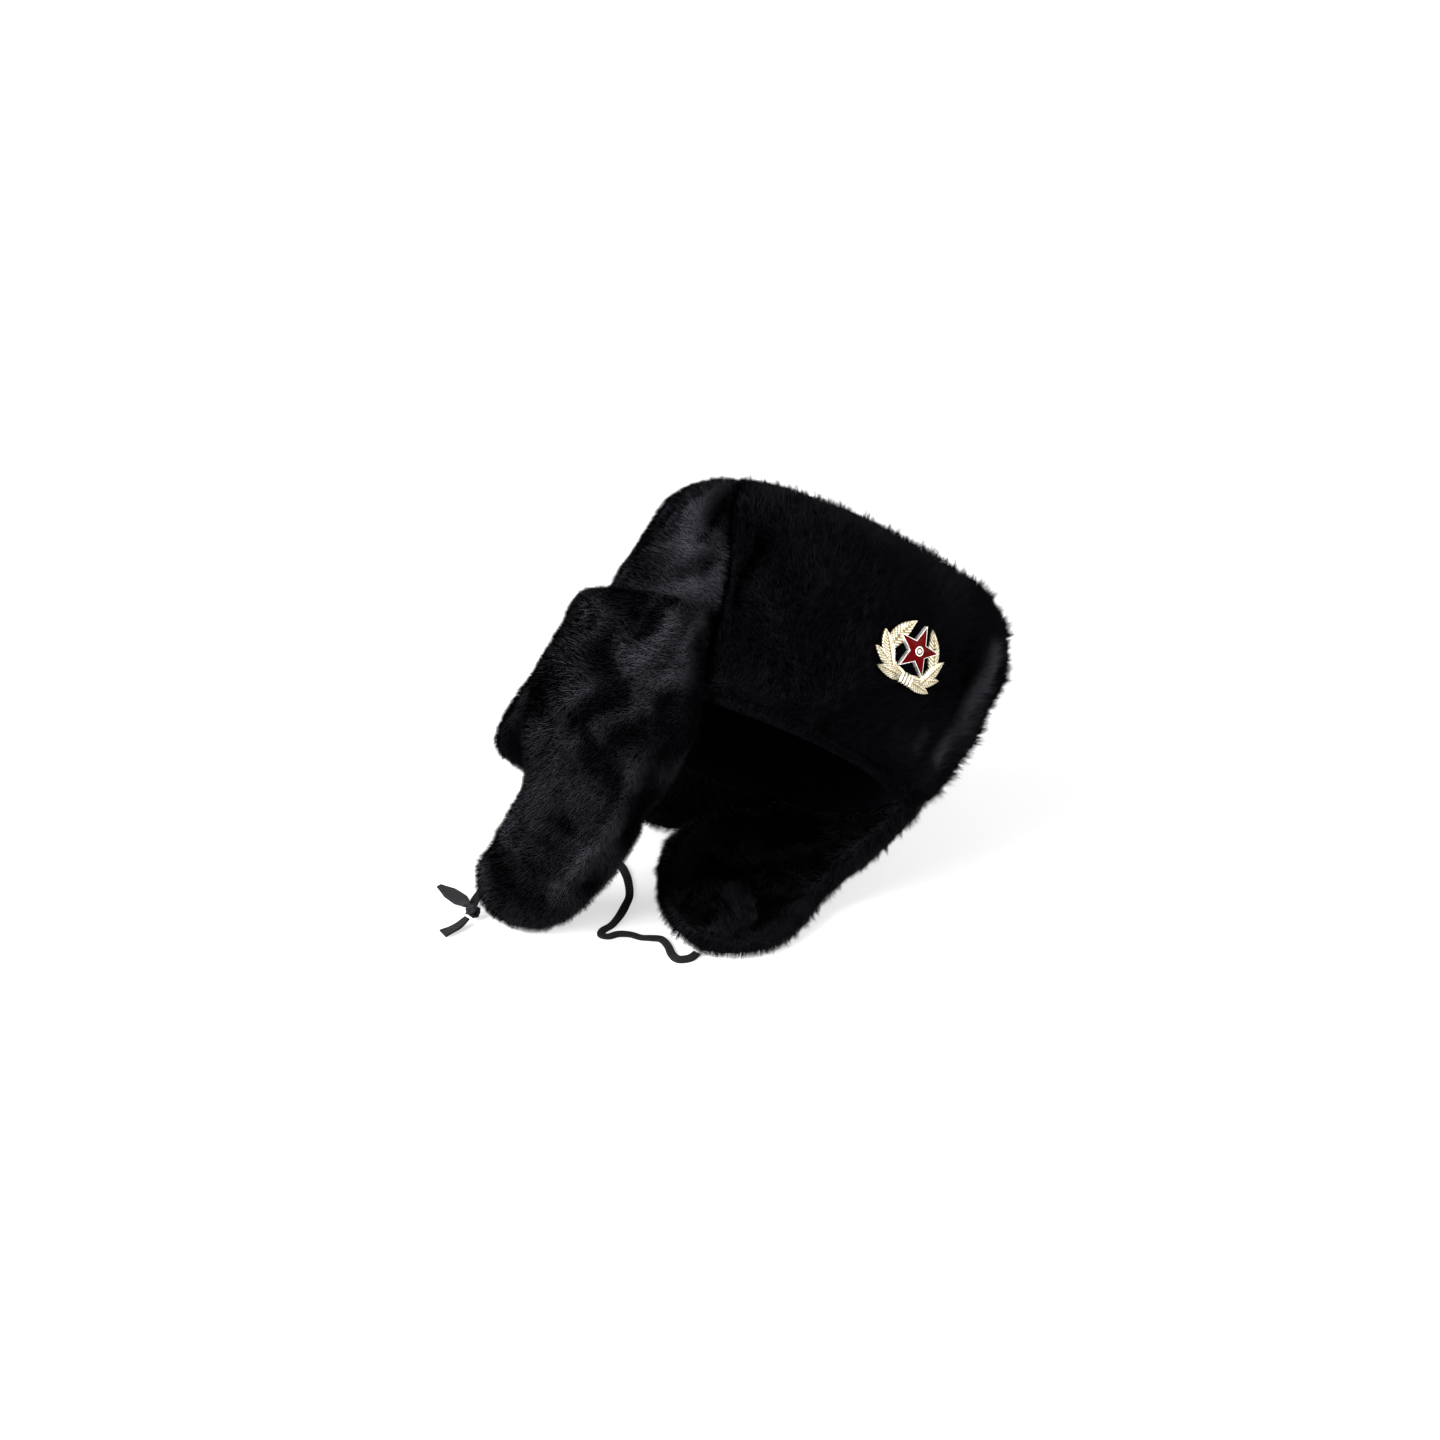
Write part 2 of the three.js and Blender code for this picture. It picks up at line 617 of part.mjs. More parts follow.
function boxSolid(size, x, y) {
  const box = new THREE.BoxGeometry(...size).translate(x, y, size[2] / 2);
  box.deleteAttribute('normal');
  box.deleteAttribute('uv');
  return toManifold(mergeVertices(box));
}

const STAR_HEIGHTS = {
  foot: 0.6, floor: 2.1, rim: 3.1, enamelLow: 2.4, enamelEdge: 3.1, enamelTop: 3.9,
};
const BOSS = { radius: 2.3, hole: 2.7, top: 4.1, ring: 1.8, deep: 0.5, raised: 0.2 };

function makeBadge() {
  let metal = toManifold(ringSolid([
    starRing(BADGE.star, STAR_HEIGHTS.foot),
    starRing(BADGE.star * STAR_SHARES.rim, STAR_HEIGHTS.rim),
  ]));
  const pocket = toManifold(ringSolid([
    starRing(BADGE.star * STAR_SHARES.pocket, STAR_HEIGHTS.floor),
    starRing(BADGE.star * STAR_SHARES.pocket, STAR_HEIGHTS.rim + 1),
  ]));
  metal = metal.subtract(pocket);
  metal = metal.add(cylinderSolid(BOSS.radius, STAR_HEIGHTS.floor - 1, BOSS.top));
  metal = metal.subtract(cylinderSolid(BOSS.ring, BOSS.top - BOSS.deep, BOSS.top + 1));
  metal = metal.add(cylinderSolid(BOSS.ring / 2, STAR_HEIGHTS.floor, BOSS.top + BOSS.raised, 8));
  for (const leaf of LEAVES) {
    for (const side of [1, -1]) metal = metal.add(leafSolid(leaf, side));
  }
  for (const x of RIBS.at) metal = metal.add(boxSolid(RIBS.size, x, WRAP.up));
  metal = metal.add(boxSolid(WRAP.size, 0, WRAP.up));
  return bentBack(fromManifold(metal));
}

function makeEnamel() {
  const edge = BADGE.star * STAR_SHARES.enamel;
  const slab = toManifold(ringSolid([
    starRing(edge, STAR_HEIGHTS.enamelLow),
    starRing(edge, STAR_HEIGHTS.enamelEdge),
    starRing(edge * STAR_SHARES.enamelTop, STAR_HEIGHTS.enamelTop),
  ]));
  return bentBack(fromManifold(slab.subtract(cylinderSolid(BOSS.hole, 0, 10))));
}

// Tie: tape from the left flap's tip across the floor and behind the right flap to its knot.

// Points of the tape's middle, chosen by hand.
const TIE_ROUTE = [
  [-40.7, -32.4, 1.2], [-45.6, -33.2, 1.1], [-50.6, -30.4, 1.1], [-50.6, -25.4, 1.1], [-47.8, -18.8, 1.1],
  [-47.0, -12.6, 1.1], [-50.2, -8.6, 1.1], [-53.6, -5.2, 1.1], [-56.2, 0.2, 1.1], [-60.4, 4.2, 1.1],
  [-65.2, 5.6, 1.1], [-67.2, 8.6, 1.1], [-64.4, 11.2, 1.1], [-58.4, 11.8, 1.1], [-51.0, 15.0, 1.1],
  [-43.4, 19.8, 1.1], [-37.0, 24.6, 1.1], [-31.6, 31.6, 1.1], [-26.8, 40.0, 1.1], [-23.8, 49.4, 1.1],
  [-25.4, 59.4, 1.1], [-32.4, 67.8, 1.1], [-43.4, 73.8, 1.1], [-56.4, 77.6, 1.1], [-69.8, 79.4, 1.1],
  [-82.6, 78.4, 1.1], [-93.4, 73.8, 1.1], [-100.6, 68.6, 1.4], [-104.2, 64.5, 2.8],
];
const TIE_STEPS = 52;
// The knot's two turns of tape stand proud round their axes, and the rest is drawn in.
const KNOT = {
  centre: [-106.4, 60.4, 4.7],
  size: 4.5,
  waist: 0.82,
  turns: [[0.8, 0.2, 0.5], [-0.3, 0.9, 0.4]],
  turnHalf: { from: 0.12, to: 0.5 },
};
// Free ends past the knot: middle of the tape and its width, section by section.
const UPPER_END = [
  { at: [-106.6, 65.2, 5.6], width: 3.6 },
  { at: [-104.6, 72, 3.4], width: 8.5 },
  { at: [-104.2, 81, 2.4], width: 8 },
  { at: [-104.4, 92, 1.6], width: 3 },
];
const LOWER_END = [
  { at: [-111.2, 58.8, 4.1], width: 3.6 },
  { at: [-118, 58.2, 2.4], width: 7 },
  { at: [-126, 59.2, 1.4], width: TIE.endWidth },
];

function makeTie() {
  const route = TIE_ROUTE.map((p) => new THREE.Vector3(...p));
  const path = new THREE.CatmullRomCurve3(route, false, 'centripetal');
  const section = new THREE.Shape();
  const corners = 8;
  for (let i = 0; i < corners; i += 1) {
    const turn = ((i + 0.5) / corners) * 2 * Math.PI;
    const x = (TIE.thick / 2) * Math.cos(turn) / Math.cos(Math.PI / corners);
    const y = (TIE.width / 2) * Math.sin(turn) / Math.cos(Math.PI / corners);
    if (i === 0) section.moveTo(x, y);
    else section.lineTo(x, y);
  }
  section.closePath();
  const sweep = { steps: TIE_STEPS, extrudePath: path, bevelEnabled: false };
  const tape = new THREE.ExtrudeGeometry(section, sweep);
  return tidyMesh(Array.from(tape.getAttribute('position').array));
}

// The knot: a ball of tape with two raised turns round it.
function makeKnot() {
  const ball = new THREE.IcosahedronGeometry(KNOT.size, 3);
  ball.deleteAttribute('normal');
  ball.deleteAttribute('uv');
  const knot = mergeVertices(ball, 1e-4);
  const place = knot.getAttribute('position');
  const turns = KNOT.turns.map((axis) => new THREE.Vector3(...axis).normalize());
  for (let i = 0; i < place.count; i += 1) {
    const point = new THREE.Vector3().fromBufferAttribute(place, i);
    const offTurn = Math.min(...turns.map((axis) => Math.abs(axis.dot(point)) / KNOT.size));
    point.multiplyScalar(lerp(1, KNOT.waist, smooth(offTurn, KNOT.turnHalf.from, KNOT.turnHalf.to)));
    place.setXYZ(i, point.x, point.y, point.z);
  }
  knot.computeVertexNormals();
  return knot.translate(...KNOT.centre);
}

// A free end of tape through its sections, flat side up.
function makeTieEnd(sections) {
  const points = sections.map(({ at }) => new THREE.Vector3(...at));
  const rings = sections.map(({ width }, i) => {
    const run = points[Math.min(i + 1, points.length - 1)].clone().sub(points[Math.max(i - 1, 0)]);
    const aside = new THREE.Vector3().crossVectors(run, UP).normalize().multiplyScalar(width / 2);
    const rise = new THREE.Vector3().crossVectors(aside, run).normalize().multiplyScalar(0.4 * TIE.thick);
    const corner = (a, b) => points[i].clone().addScaledVector(aside, a).addScaledVector(rise, b);
    return [corner(-1, 1), corner(1, 1), corner(1, -1), corner(-1, -1)];
  });
  return ringSolid(rings);
}

// Assembly.
const lying = new THREE.Group();
lying.position.set(LIE_SHIFT.x, LIE_SHIFT.y, 0);
lying.add(hat);
hat.add(named('crown', makeCrown(), FUR));
hat.add(named('front_flap', makeFrontFlap(), FUR));

const badge = new THREE.Group();
badge.position.set(BADGE.aside, -(HEAD.front + FRONT_FLAP.gap + FRONT_FLAP.thick + BADGE.seat), BADGE.height);
badge.rotation.x = Math.PI / 2;
badge.add(named('badge_wreath', makeBadge(), GILT));
badge.add(named('badge_enamel', makeEnamel(), ENAMEL));
hat.add(badge);

lying.add(named('ear_flap_right', makeFlap({
  stations: [...RIGHT_BAND.map(bandStation), ...RIGHT_SECTIONS.map(freeStation)],
  folds: RIGHT_FOLDS,
  width: 90,
  length: 200,
  rows: 15,
  sewnShare: 0.28,
  tipShare: 0.22,
}), FUR));
lying.add(named('ear_flap_left', makeFlap({
  stations: [...LEFT_BAND.map(bandStation), ...LEFT_SECTIONS.map(freeStation)],
  folds: LEFT_FOLDS,
  width: 90,
  length: 180,
  rows: 15,
  sewnShare: 0.28,
  tipShare: 0.22,
  leftSide: true,
  onFloor: true,
}), FUR));
lying.add(named('neck_flap', makeFlap({
  stations: NECK_BAND.map(bandStation),
  folds: NECK_FOLDS,
  width: 150,
  length: 80,
  rows: 10,
  sewnShare: 0.6,
  tipShare: 0,
}), FUR));

lying.add(named('tie_cord', makeTie(), TAPE));
lying.add(named('tie_knot', makeKnot(), TAPE));
lying.add(named('tie_end_upper', makeTieEnd(UPPER_END), TAPE));
lying.add(named('tie_end_lower', makeTieEnd(LOWER_END), TAPE));

const ushanka = new THREE.Group();
ushanka.add(lying);

export default ushanka;
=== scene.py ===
# Looks of a fur hat with ear flaps that lies on its left side.
# Metres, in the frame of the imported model. Tables are in millimetres and turned by MM.
import math

import bpy
import numpy as np
from mathutils import Euler, Matrix, Vector
from mathutils.bvhtree import BVHTree


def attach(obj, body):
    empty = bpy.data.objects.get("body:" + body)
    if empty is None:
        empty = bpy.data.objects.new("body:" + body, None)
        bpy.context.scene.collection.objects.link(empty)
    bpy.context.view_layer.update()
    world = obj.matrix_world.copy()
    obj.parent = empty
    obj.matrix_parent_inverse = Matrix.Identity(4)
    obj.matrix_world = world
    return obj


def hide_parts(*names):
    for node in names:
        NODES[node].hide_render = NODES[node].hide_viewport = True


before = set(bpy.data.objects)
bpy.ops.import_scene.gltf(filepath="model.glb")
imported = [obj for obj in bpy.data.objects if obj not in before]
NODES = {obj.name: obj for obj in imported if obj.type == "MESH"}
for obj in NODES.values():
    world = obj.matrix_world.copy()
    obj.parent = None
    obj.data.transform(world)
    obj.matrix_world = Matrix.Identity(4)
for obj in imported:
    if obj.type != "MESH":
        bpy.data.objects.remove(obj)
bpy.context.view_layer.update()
MM = 0.001

# How the hat lies: the same values as the model's.
ROLL = math.radians(44.5)
PITCH = math.radians(24)
LIE = (-13.64, 5.37)
RIM_HEIGHT = 85
HEAD_FRONT = 107
HAT = (
    Matrix.Translation((LIE[0], LIE[1], RIM_HEIGHT))
    @ Matrix.Rotation(-PITCH, 4, "X")
    @ Matrix.Rotation(ROLL, 4, "Y")
)
HAT_TURN = np.array(HAT.to_3x3())
HAT_PLACE = np.array(HAT.translation)

# Camera, at the photograph's angle; it sees as far as its sight, in metres.
CAMERA = {
    "place": (-851.73, -1016.33, 980.47),
    "turn": Euler((math.radians(56.5), 0, math.radians(-40))),
    "lens": 82.8,
    "sensor": 36,
    "sight": 20,
}
# Width and height of the photograph in pixels, in which FOLDS and the patches of painted light and shade say
# what is seen.
PHOTO_WIDTH = 1440


# Nodes.


class Link:
    """A socket of a node tree that can be added, taken off, multiplied and divided by."""

    def __init__(self, tree, socket):
        self.tree = tree
        self.socket = socket

    def joined(self, operation, first, second):
        sockets = {0: first, 1: second}
        return add_node(self.tree, "ShaderNodeMath", {"operation": operation}, sockets).out("Value")

    def __add__(self, other):
        return self.joined("ADD", self, other)

    def __radd__(self, other):
        return self.joined("ADD", other, self)

    def __sub__(self, other):
        return self.joined("SUBTRACT", self, other)

    def __rsub__(self, other):
        return self.joined("SUBTRACT", other, self)

    def __mul__(self, other):
        return self.joined("MULTIPLY", self, other)

    def __rmul__(self, other):
        return self.joined("MULTIPLY", other, self)

    def __rtruediv__(self, other):
        return self.joined("DIVIDE", other, self)


class Added:
    """A node that was added, with its outputs as links."""

    def __init__(self, tree, node):
        self.tree = tree
        self.node = node

    def out(self, name):
        """The output of a name that is in use, since one name may stand for several types."""
        usable = [s for s in self.node.outputs if s.name == name and s.enabled]
        return Link(self.tree, usable[0])


def fill_socket(tree, socket, value):
    if isinstance(value, Link):
        tree.links.new(value.socket, socket)
    else:
        socket.default_value = value


def add_node(tree, kind, settings=None, sockets=None):
    """Any node, by its type, then its settings, then the values or links of its sockets."""
    node = tree.nodes.new(kind)
    for key, value in (settings or {}).items():
        setattr(node, key, value)
    for key, value in (sockets or {}).items():
        usable = [s for s in node.inputs if s.enabled]
        socket = usable[key] if isinstance(key, int) else next(s for s in usable if s.name == key)
        fill_socket(tree, socket, value)
    return Added(tree, node)


class Finish:
    """A Principled material; what varies over it is linked, and the rest is set on its sockets."""

    def __init__(self, name, **constants):
        self.material = bpy.data.materials.new(name)
        self.material.use_nodes = True
        self.tree = self.material.node_tree
        self.shader = self.tree.nodes["Principled BSDF"]
        for socket, value in constants.items():
            self.shader.inputs[socket.replace("_", " ")].default_value = value
        self.place = add_node(self.tree, "ShaderNodeTexCoord").out("Object")

    def read(self, name):
        """A number that the mesh carries under a name."""
        return add_node(self.tree, "ShaderNodeAttribute", {"attribute_name": name}).out("Fac")

    def patches(self, size, detail=2.0):
        """Noise from 0 to 1 whose patches have a size in millimetres."""
        sockets = {"Vector": self.place, "Scale": 1 / (size * MM), "Detail": detail}
        return add_node(self.tree, "ShaderNodeTexNoise", None, sockets).out("Fac")

    def ribs(self, size, direction, distortion=0.0):
        """Waves from 0 to 1, a size in millimetres apart."""
        sockets = {"Vector": self.place, "Scale": 0.314 / (size * MM), "Distortion": distortion}
        return add_node(self.tree, "ShaderNodeTexWave", {"bands_direction": direction}, sockets).out("Fac")

    def spread(self, value, low, high, to_low, to_high):
        """A value from one range to another, held at its ends."""
        sockets = {"Value": value, "From Min": low, "From Max": high, "To Min": to_low, "To Max": to_high}
        return add_node(self.tree, "ShaderNodeMapRange", None, sockets).out("Result")

    def blended(self, share, first, second):
        """A colour between two, each of them numbers or a link."""
        first, second = (c if isinstance(c, Link) else (*c, 1) for c in (first, second))
        sockets = {"Factor": share, "A": first, "B": second}
        return add_node(self.tree, "ShaderNodeMix", {"data_type": "RGBA"}, sockets).out("Result")

    def relief(self, height, deep, strength=1.0):
        sockets = {"Height": height, "Distance": deep * MM, "Strength": strength}
        self.link("Normal", add_node(self.tree, "ShaderNodeBump", None, sockets).out("Normal"))

    def link(self, socket, value):
        fill_socket(self.tree, self.shader.inputs[socket], value)


# Materials.


def fur_colour_and_painted_light(finish):
    """Black plush, with painted sheen in bluish grey and painted shade, blacker in creases and away from the
    lamps.
    """
    tufts = finish.patches(2.2, 2)
    share = finish.spread(finish.read("painted_sheen_and_shade") * (tufts * 0.5 + 0.75), 0.02, 0.95, 0, 1)
    return finish.blended(share, (0.0034, 0.0031, 0.0042), (0.0330, 0.0315, 0.0375))


def fur_finish():
    fur = Finish("fur_pile", Specular_IOR_Level=0.0)
    fur.link("Base Color", fur_colour_and_painted_light(fur))
    fur.link("Roughness", fur.spread(fur.patches(2.2, 2), 0.3, 0.7, 0.55, 0.7))
    return fur.material


def backing_finish():
    """The knitted cloth inside the crown, hidden by the feet of the pile where pile grows."""
    cloth = Finish("backing_cloth", Specular_IOR_Level=0.0)
    knit = cloth.ribs(0.7, "X", 1.5) * cloth.ribs(0.7, "Z", 1.5)
    folds = cloth.patches(30, 4)
    knitted = cloth.blended(folds, (0.0006, 0.0005, 0.0008), (0.0016, 0.0014, 0.0020))
    # Where pile grows, the cloth takes the fur's colour with its painted sheen and shade.
    cloth.link("Base Color", cloth.blended(cloth.read("furred") * 0.75, knitted, fur_colour_and_painted_light(cloth)))
    cloth.link("Roughness", cloth.spread(folds, 0.3, 0.7, 0.7, 0.86))
    cloth.relief(knit + folds, 0.25, 0.3)
    return cloth.material


def tape_finish():
    """Black woven tape, a little rubbed."""
    tape = Finish("woven_tape", Sheen_Weight=0.02, Specular_IOR_Level=0.12)
    weave = tape.ribs(0.9, "DIAGONAL", 1.4)
    rubbed = tape.patches(6, 3)
    tape.link("Base Color", tape.blended(rubbed, (0.0014, 0.0013, 0.0018), (0.0065, 0.0060, 0.0075)))
    tape.link("Roughness", tape.spread(rubbed, 0.3, 0.7, 0.6, 0.85))
    tape.relief(weave + rubbed, 0.35, 0.6)
    return tape.material


def gilt_finish():
    """Pale gilt, whiter on worn tops and brown in the hollows between the veins."""
    gilt = Finish("pale_gilt", Metallic=0.7)
    worn = gilt.patches(4, 4)
    grain = gilt.patches(0.8, 2)
    top = gilt.spread(worn * 0.7 + grain * 0.3 - gilt.read("hollow") * 1.3, -0.5, 0.35, 0, 1)
    gilt.link("Base Color", gilt.blended(top, (0.25, 0.19, 0.075), (1.0, 0.96, 0.80)))
    gilt.link("Roughness", gilt.spread(grain, 0.3, 0.7, 0.34, 0.5))
    gilt.relief(grain, 0.12, 0.5)
    return gilt.material


def silver_finish():
    """Bright bevels of the star."""
    silver = Finish("bright_rim", Metallic=0.8)
    worn = silver.patches(3, 3)
    silver.link("Base Color", silver.blended(worn, (0.90, 0.88, 0.80), (0.99, 0.98, 0.95)))
    silver.link("Roughness", silver.spread(worn, 0.3, 0.7, 0.24, 0.4))
    return silver.material


def enamel_finish():
    """Dark red enamel that pools deeper towards the middle."""
    enamel = Finish("red_enamel", Coat_Weight=0.04, Coat_Roughness=0.08, Specular_IOR_Level=0.0)
    pool = enamel.patches(5, 2)
    enamel.link("Base Color", enamel.blended(pool, (0.060, 0.0008, 0.0014), (0.130, 0.0018, 0.0030)))
    enamel.link("Roughness", enamel.spread(pool, 0.3, 0.7, 0.2, 0.32))
    return enamel.material


FLOOR_GLOW = 0.6


def floor_finish():
    floor = Finish("pale_floor", Specular_IOR_Level=0.1)
    cloud = floor.patches(900, 2)
    floor.link("Base Color", floor.blended(cloud, (0.44, 0.44, 0.442), (0.46, 0.46, 0.46)))
    floor.shader.inputs["Roughness"].default_value = 0.85
    floor.shader.inputs["Emission Color"].default_value = (1.0, 1.0, 1.0, 1)
    floor.shader.inputs["Emission Strength"].default_value = FLOOR_GLOW
    return floor.material


FUR = fur_finish()
BACKING = backing_finish()
TAPE_CLOTH = tape_finish()
GILT = gilt_finish()
SILVER = silver_finish()
ENAMEL = enamel_finish()


# Small helpers.


def placed(point):
    """A point of the model's tables, in metres in the frame."""
    return Vector(((point[0] + LIE[0]) * MM, (point[1] + LIE[1]) * MM, point[2] * MM))


def smoothstep(value, low, high):
    share = np.clip((value - low) / (high - low), 0, 1)
    return share * share * (3 - 2 * share)


def unit(vectors):
    return vectors / np.maximum(np.linalg.norm(vectors, axis=1, keepdims=True), 1e-9)


def in_hat(points):
    """Points of the frame in millimetres, in the hat's own upright axes."""
    return (points - HAT_PLACE) @ HAT_TURN


def hashed(cell, seed):
    """A number from -1 to 1 for each whole-number cell."""
    key = cell[:, 0] * 73856093 ^ cell[:, 1] * 19349663 ^ cell[:, 2] * 83492791 ^ (seed * 2654435761)
    key = (key ^ (key >> 13)) * 1274126177
    return ((key >> 8) & 0xFFFFF) / 0x7FFFF - 1.0


def noise(points, size, seed):
    """Soft noise from -1 to 1 at points in millimetres, with patches of a size."""
    place = points / size + 100.0
    cell = np.floor(place).astype(np.int64)
    part = place - cell
    part = part * part * (3 - 2 * part)
    total = np.zeros(len(points))
    for corner in range(8):
        step = np.array([corner & 1, (corner >> 1) & 1, (corner >> 2) & 1])
        weight = np.prod(np.where(step == 1, part, 1 - part), axis=1)
        total += weight * hashed(cell + step, seed)
    return total


def mesh_arrays(mesh):
    """Places in millimetres and normals of a mesh's vertices."""
    places = np.empty(len(mesh.vertices) * 3, np.float32)
    normals = np.empty(len(mesh.vertices) * 3, np.float32)
    mesh.vertices.foreach_get("co", places)
    mesh.vertices.foreach_get("normal", normals)
    return places.reshape(-1, 3).astype(float) / MM, normals.reshape(-1, 3).astype(float)


def set_places(mesh, points):
    mesh.vertices.foreach_set("co", (points * MM).astype(np.float32).ravel())
    mesh.update()


def add_object(name, mesh, material):
    piece = bpy.data.objects.new(name, mesh)
    bpy.context.scene.collection.objects.link(piece)
    mesh.materials.clear()
    mesh.materials.append(material)
    return piece


def mesh_of(name, points, faces, smooth=True):
    """A mesh from points in millimetres and faces."""
    mesh = bpy.data.meshes.new(name)
    mesh.from_pydata([Vector(p) * MM for p in points], [], faces)
    mesh.polygons.foreach_set("use_smooth", [smooth] * len(mesh.polygons))
    mesh.update()
    return mesh


def belongs(piece, slot, *nodes):
    """Puts a piece on the hat's body and hides the nodes it stands for; the finish slot is not used."""
    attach(piece, "root")
    if nodes:
        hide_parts(*nodes)


# Camera.


def make_camera():
    lens = bpy.data.cameras.new("camera")
    lens.lens = CAMERA["lens"]
    lens.sensor_width = CAMERA["sensor"]
    lens.clip_end = CAMERA["sight"]
    camera = bpy.data.objects.new("camera", lens)
    camera.location = placed(CAMERA["place"])
    camera.rotation_euler = CAMERA["turn"]
    bpy.context.scene.collection.objects.link(camera)
    bpy.context.scene.camera = camera


# Tie: a woven tape from the left flap's tip over the floor to its knot at the right flap.

# The tape's whole length is in metres, with what hides in the knot and under the flap.
TAPE = {"width": 4.5, "thick": 1.3, "length": 0.236, "rings": 260}
TIE_ROUTE = [
    (-40.7, -32.4, 1.2), (-45.6, -33.2, 1.1), (-50.6, -30.4, 1.1), (-50.6, -25.4, 1.1),
    (-47.8, -18.8, 1.1), (-47.0, -12.6, 1.1), (-50.2, -8.6, 1.1), (-53.6, -5.2, 1.1),
    (-56.2, 0.2, 1.1), (-60.4, 4.2, 1.1), (-65.2, 5.6, 1.1), (-67.2, 8.6, 1.1),
    (-64.4, 11.2, 1.1), (-58.4, 11.8, 1.1), (-51.0, 15.0, 1.1), (-43.4, 19.8, 1.1),
    (-37.0, 24.6, 1.1), (-31.6, 31.6, 1.1), (-26.8, 40.0, 1.1), (-23.8, 49.4, 1.1),
    (-25.4, 59.4, 1.1), (-32.4, 67.8, 1.1), (-43.4, 73.8, 1.1), (-56.4, 77.6, 1.1),
    (-69.8, 79.4, 1.1), (-82.6, 78.4, 1.1), (-93.4, 73.8, 1.1), (-100.6, 68.6, 1.4),
    (-104.2, 64.5, 2.8),
]
KNOT = {"centre": (-106.4, 60.4, 4.7), "thick": 1.2, "rings": 30, "wave": 0.5}
# Turns of tape in the knot: tilt in radians, half axes of each ring, width of the tape.
KNOT_TURNS = [
    {"tilt": (0.9, 0.5, 0.4), "reach": (3.1, 2.6), "width": 3.4},
    {"tilt": (0.0, 1.1, 1.5), "reach": (3.0, 2.4), "width": 3.4},
    {"tilt": (-0.9, 1.7, 2.6), "reach": (2.9, 2.5), "width": 3.0},
]
TIE_ENDS = {
    "tie_tip_upper": {
        "node": "tie_end_upper",
        "rows": [(-106.6, 65.2, 5.6), (-104.6, 72, 3.4), (-104.2, 81, 2.4), (-104.4, 92, 1.6)],
        "widths": [3.6, 8.0, 7.6, 3.0],
        "sway": 0.22,
    },
    "tie_tip_lower": {
        "node": "tie_end_lower",
        "rows": [(-111.2, 58.8, 4.1), (-118, 58.2, 2.4), (-126, 59.2, 1.4)],
        "widths": [3.4, 6.6, 7.2],
        "sway": -0.2,
    },
}
END_TAPE = {"thick": 1.1, "rings": 40}
# Section of a tape, in halves of its width and thickness: soft edges, and a hollow along the top.
TAPE_SECTION = [
    (-1, 0), (-0.93, 0.75), (-0.6, 1.0), (0, 0.8), (0.6, 1.0), (0.93, 0.75),
    (1, 0), (0.93, -0.75), (0.6, -1.0), (0, -1.0), (-0.6, -1.0), (-0.93, -0.75),
]
# Nothing thin lies closer to the floor than this.
LEAST_HEIGHT = 0.15
CURVE_STEPS = 12


def smooth_line(points, count):
    """Evenly spaced points on a smooth curve through points, in millimetres."""
    points = [np.array(p, float) for p in points]
    ends = [2 * points[0] - points[1], *points, 2 * points[-1] - points[-2]]
    line = []
    for i in range(1, len(ends) - 2):
        before, here, after, beyond = ends[i - 1 : i + 3]
        for t in np.arange(0, 1, 1 / CURVE_STEPS):
            bend = (2 * before - 5 * here + 4 * after - beyond) * t**2
            twist = (3 * here - before - 3 * after + beyond) * t**3
            line.append(0.5 * (2 * here + (after - before) * t + bend + twist))
    line = np.array([*line, points[-1]])
    run = np.concatenate([[0], np.cumsum(np.linalg.norm(np.diff(line, axis=0), axis=1))])
    spots = np.linspace(0, run[-1], count)
    return np.stack([np.interp(spots, run, line[:, k]) for k in range(3)], axis=1)


def tape_parts(line, widths, thick, twist):
    """Points and faces of a flat woven tape along a line."""
    runs = unit(np.gradient(line, axis=0))
    points = []
    for i, (spot, run) in enumerate(zip(line, runs)):
        aside = np.cross(run, (0, 0, 1))
        aside /= np.linalg.norm(aside)
        rise = np.cross(aside, run)
        turn = twist(i / (len(line) - 1))
        across = math.cos(turn) * aside + math.sin(turn) * rise
        upward = math.cos(turn) * rise - math.sin(turn) * aside
        for x, y in TAPE_SECTION:
            place = spot + across * x * widths[i] / 2 + upward * y * thick / 2
            points.append((place[0] + LIE[0], place[1] + LIE[1], max(place[2], LEAST_HEIGHT)))
    count = len(TAPE_SECTION)
    faces = []
    for i in range(len(line) - 1):
        for k in range(count):
            n = (k + 1) % count
            faces.append((i * count + k, i * count + n, (i + 1) * count + n, (i + 1) * count + k))
    faces.append(tuple(range(count))[::-1])
    faces.append(tuple((len(line) - 1) * count + k for k in range(count)))
    return points, faces


def make_knot():
    points, faces = [], []
    roll = lambda share: 0.3 * math.sin(9 * share)
    for turn in KNOT_TURNS:
        tilt = Euler(turn["tilt"]).to_matrix()
        wide, tall = turn["reach"]
        ring = []
        for angle in np.linspace(0, 2 * math.pi, KNOT["rings"]):
            wave = KNOT["wave"] * math.sin(2 * angle)
            spot = tilt @ Vector((wide * math.cos(angle), tall * math.sin(angle), wave))
            ring.append(np.array(KNOT["centre"]) + np.array(spot))
        widths = [turn["width"]] * len(ring)
        loop_points, loop_faces = tape_parts(np.array(ring), widths, KNOT["thick"], roll)
        start = len(points)
        points += loop_points
        faces += [tuple(start + corner for corner in face) for face in loop_faces]
    return add_object("tie_knot_turns", mesh_of("tie_knot_turns", points, faces), TAPE_CLOTH)


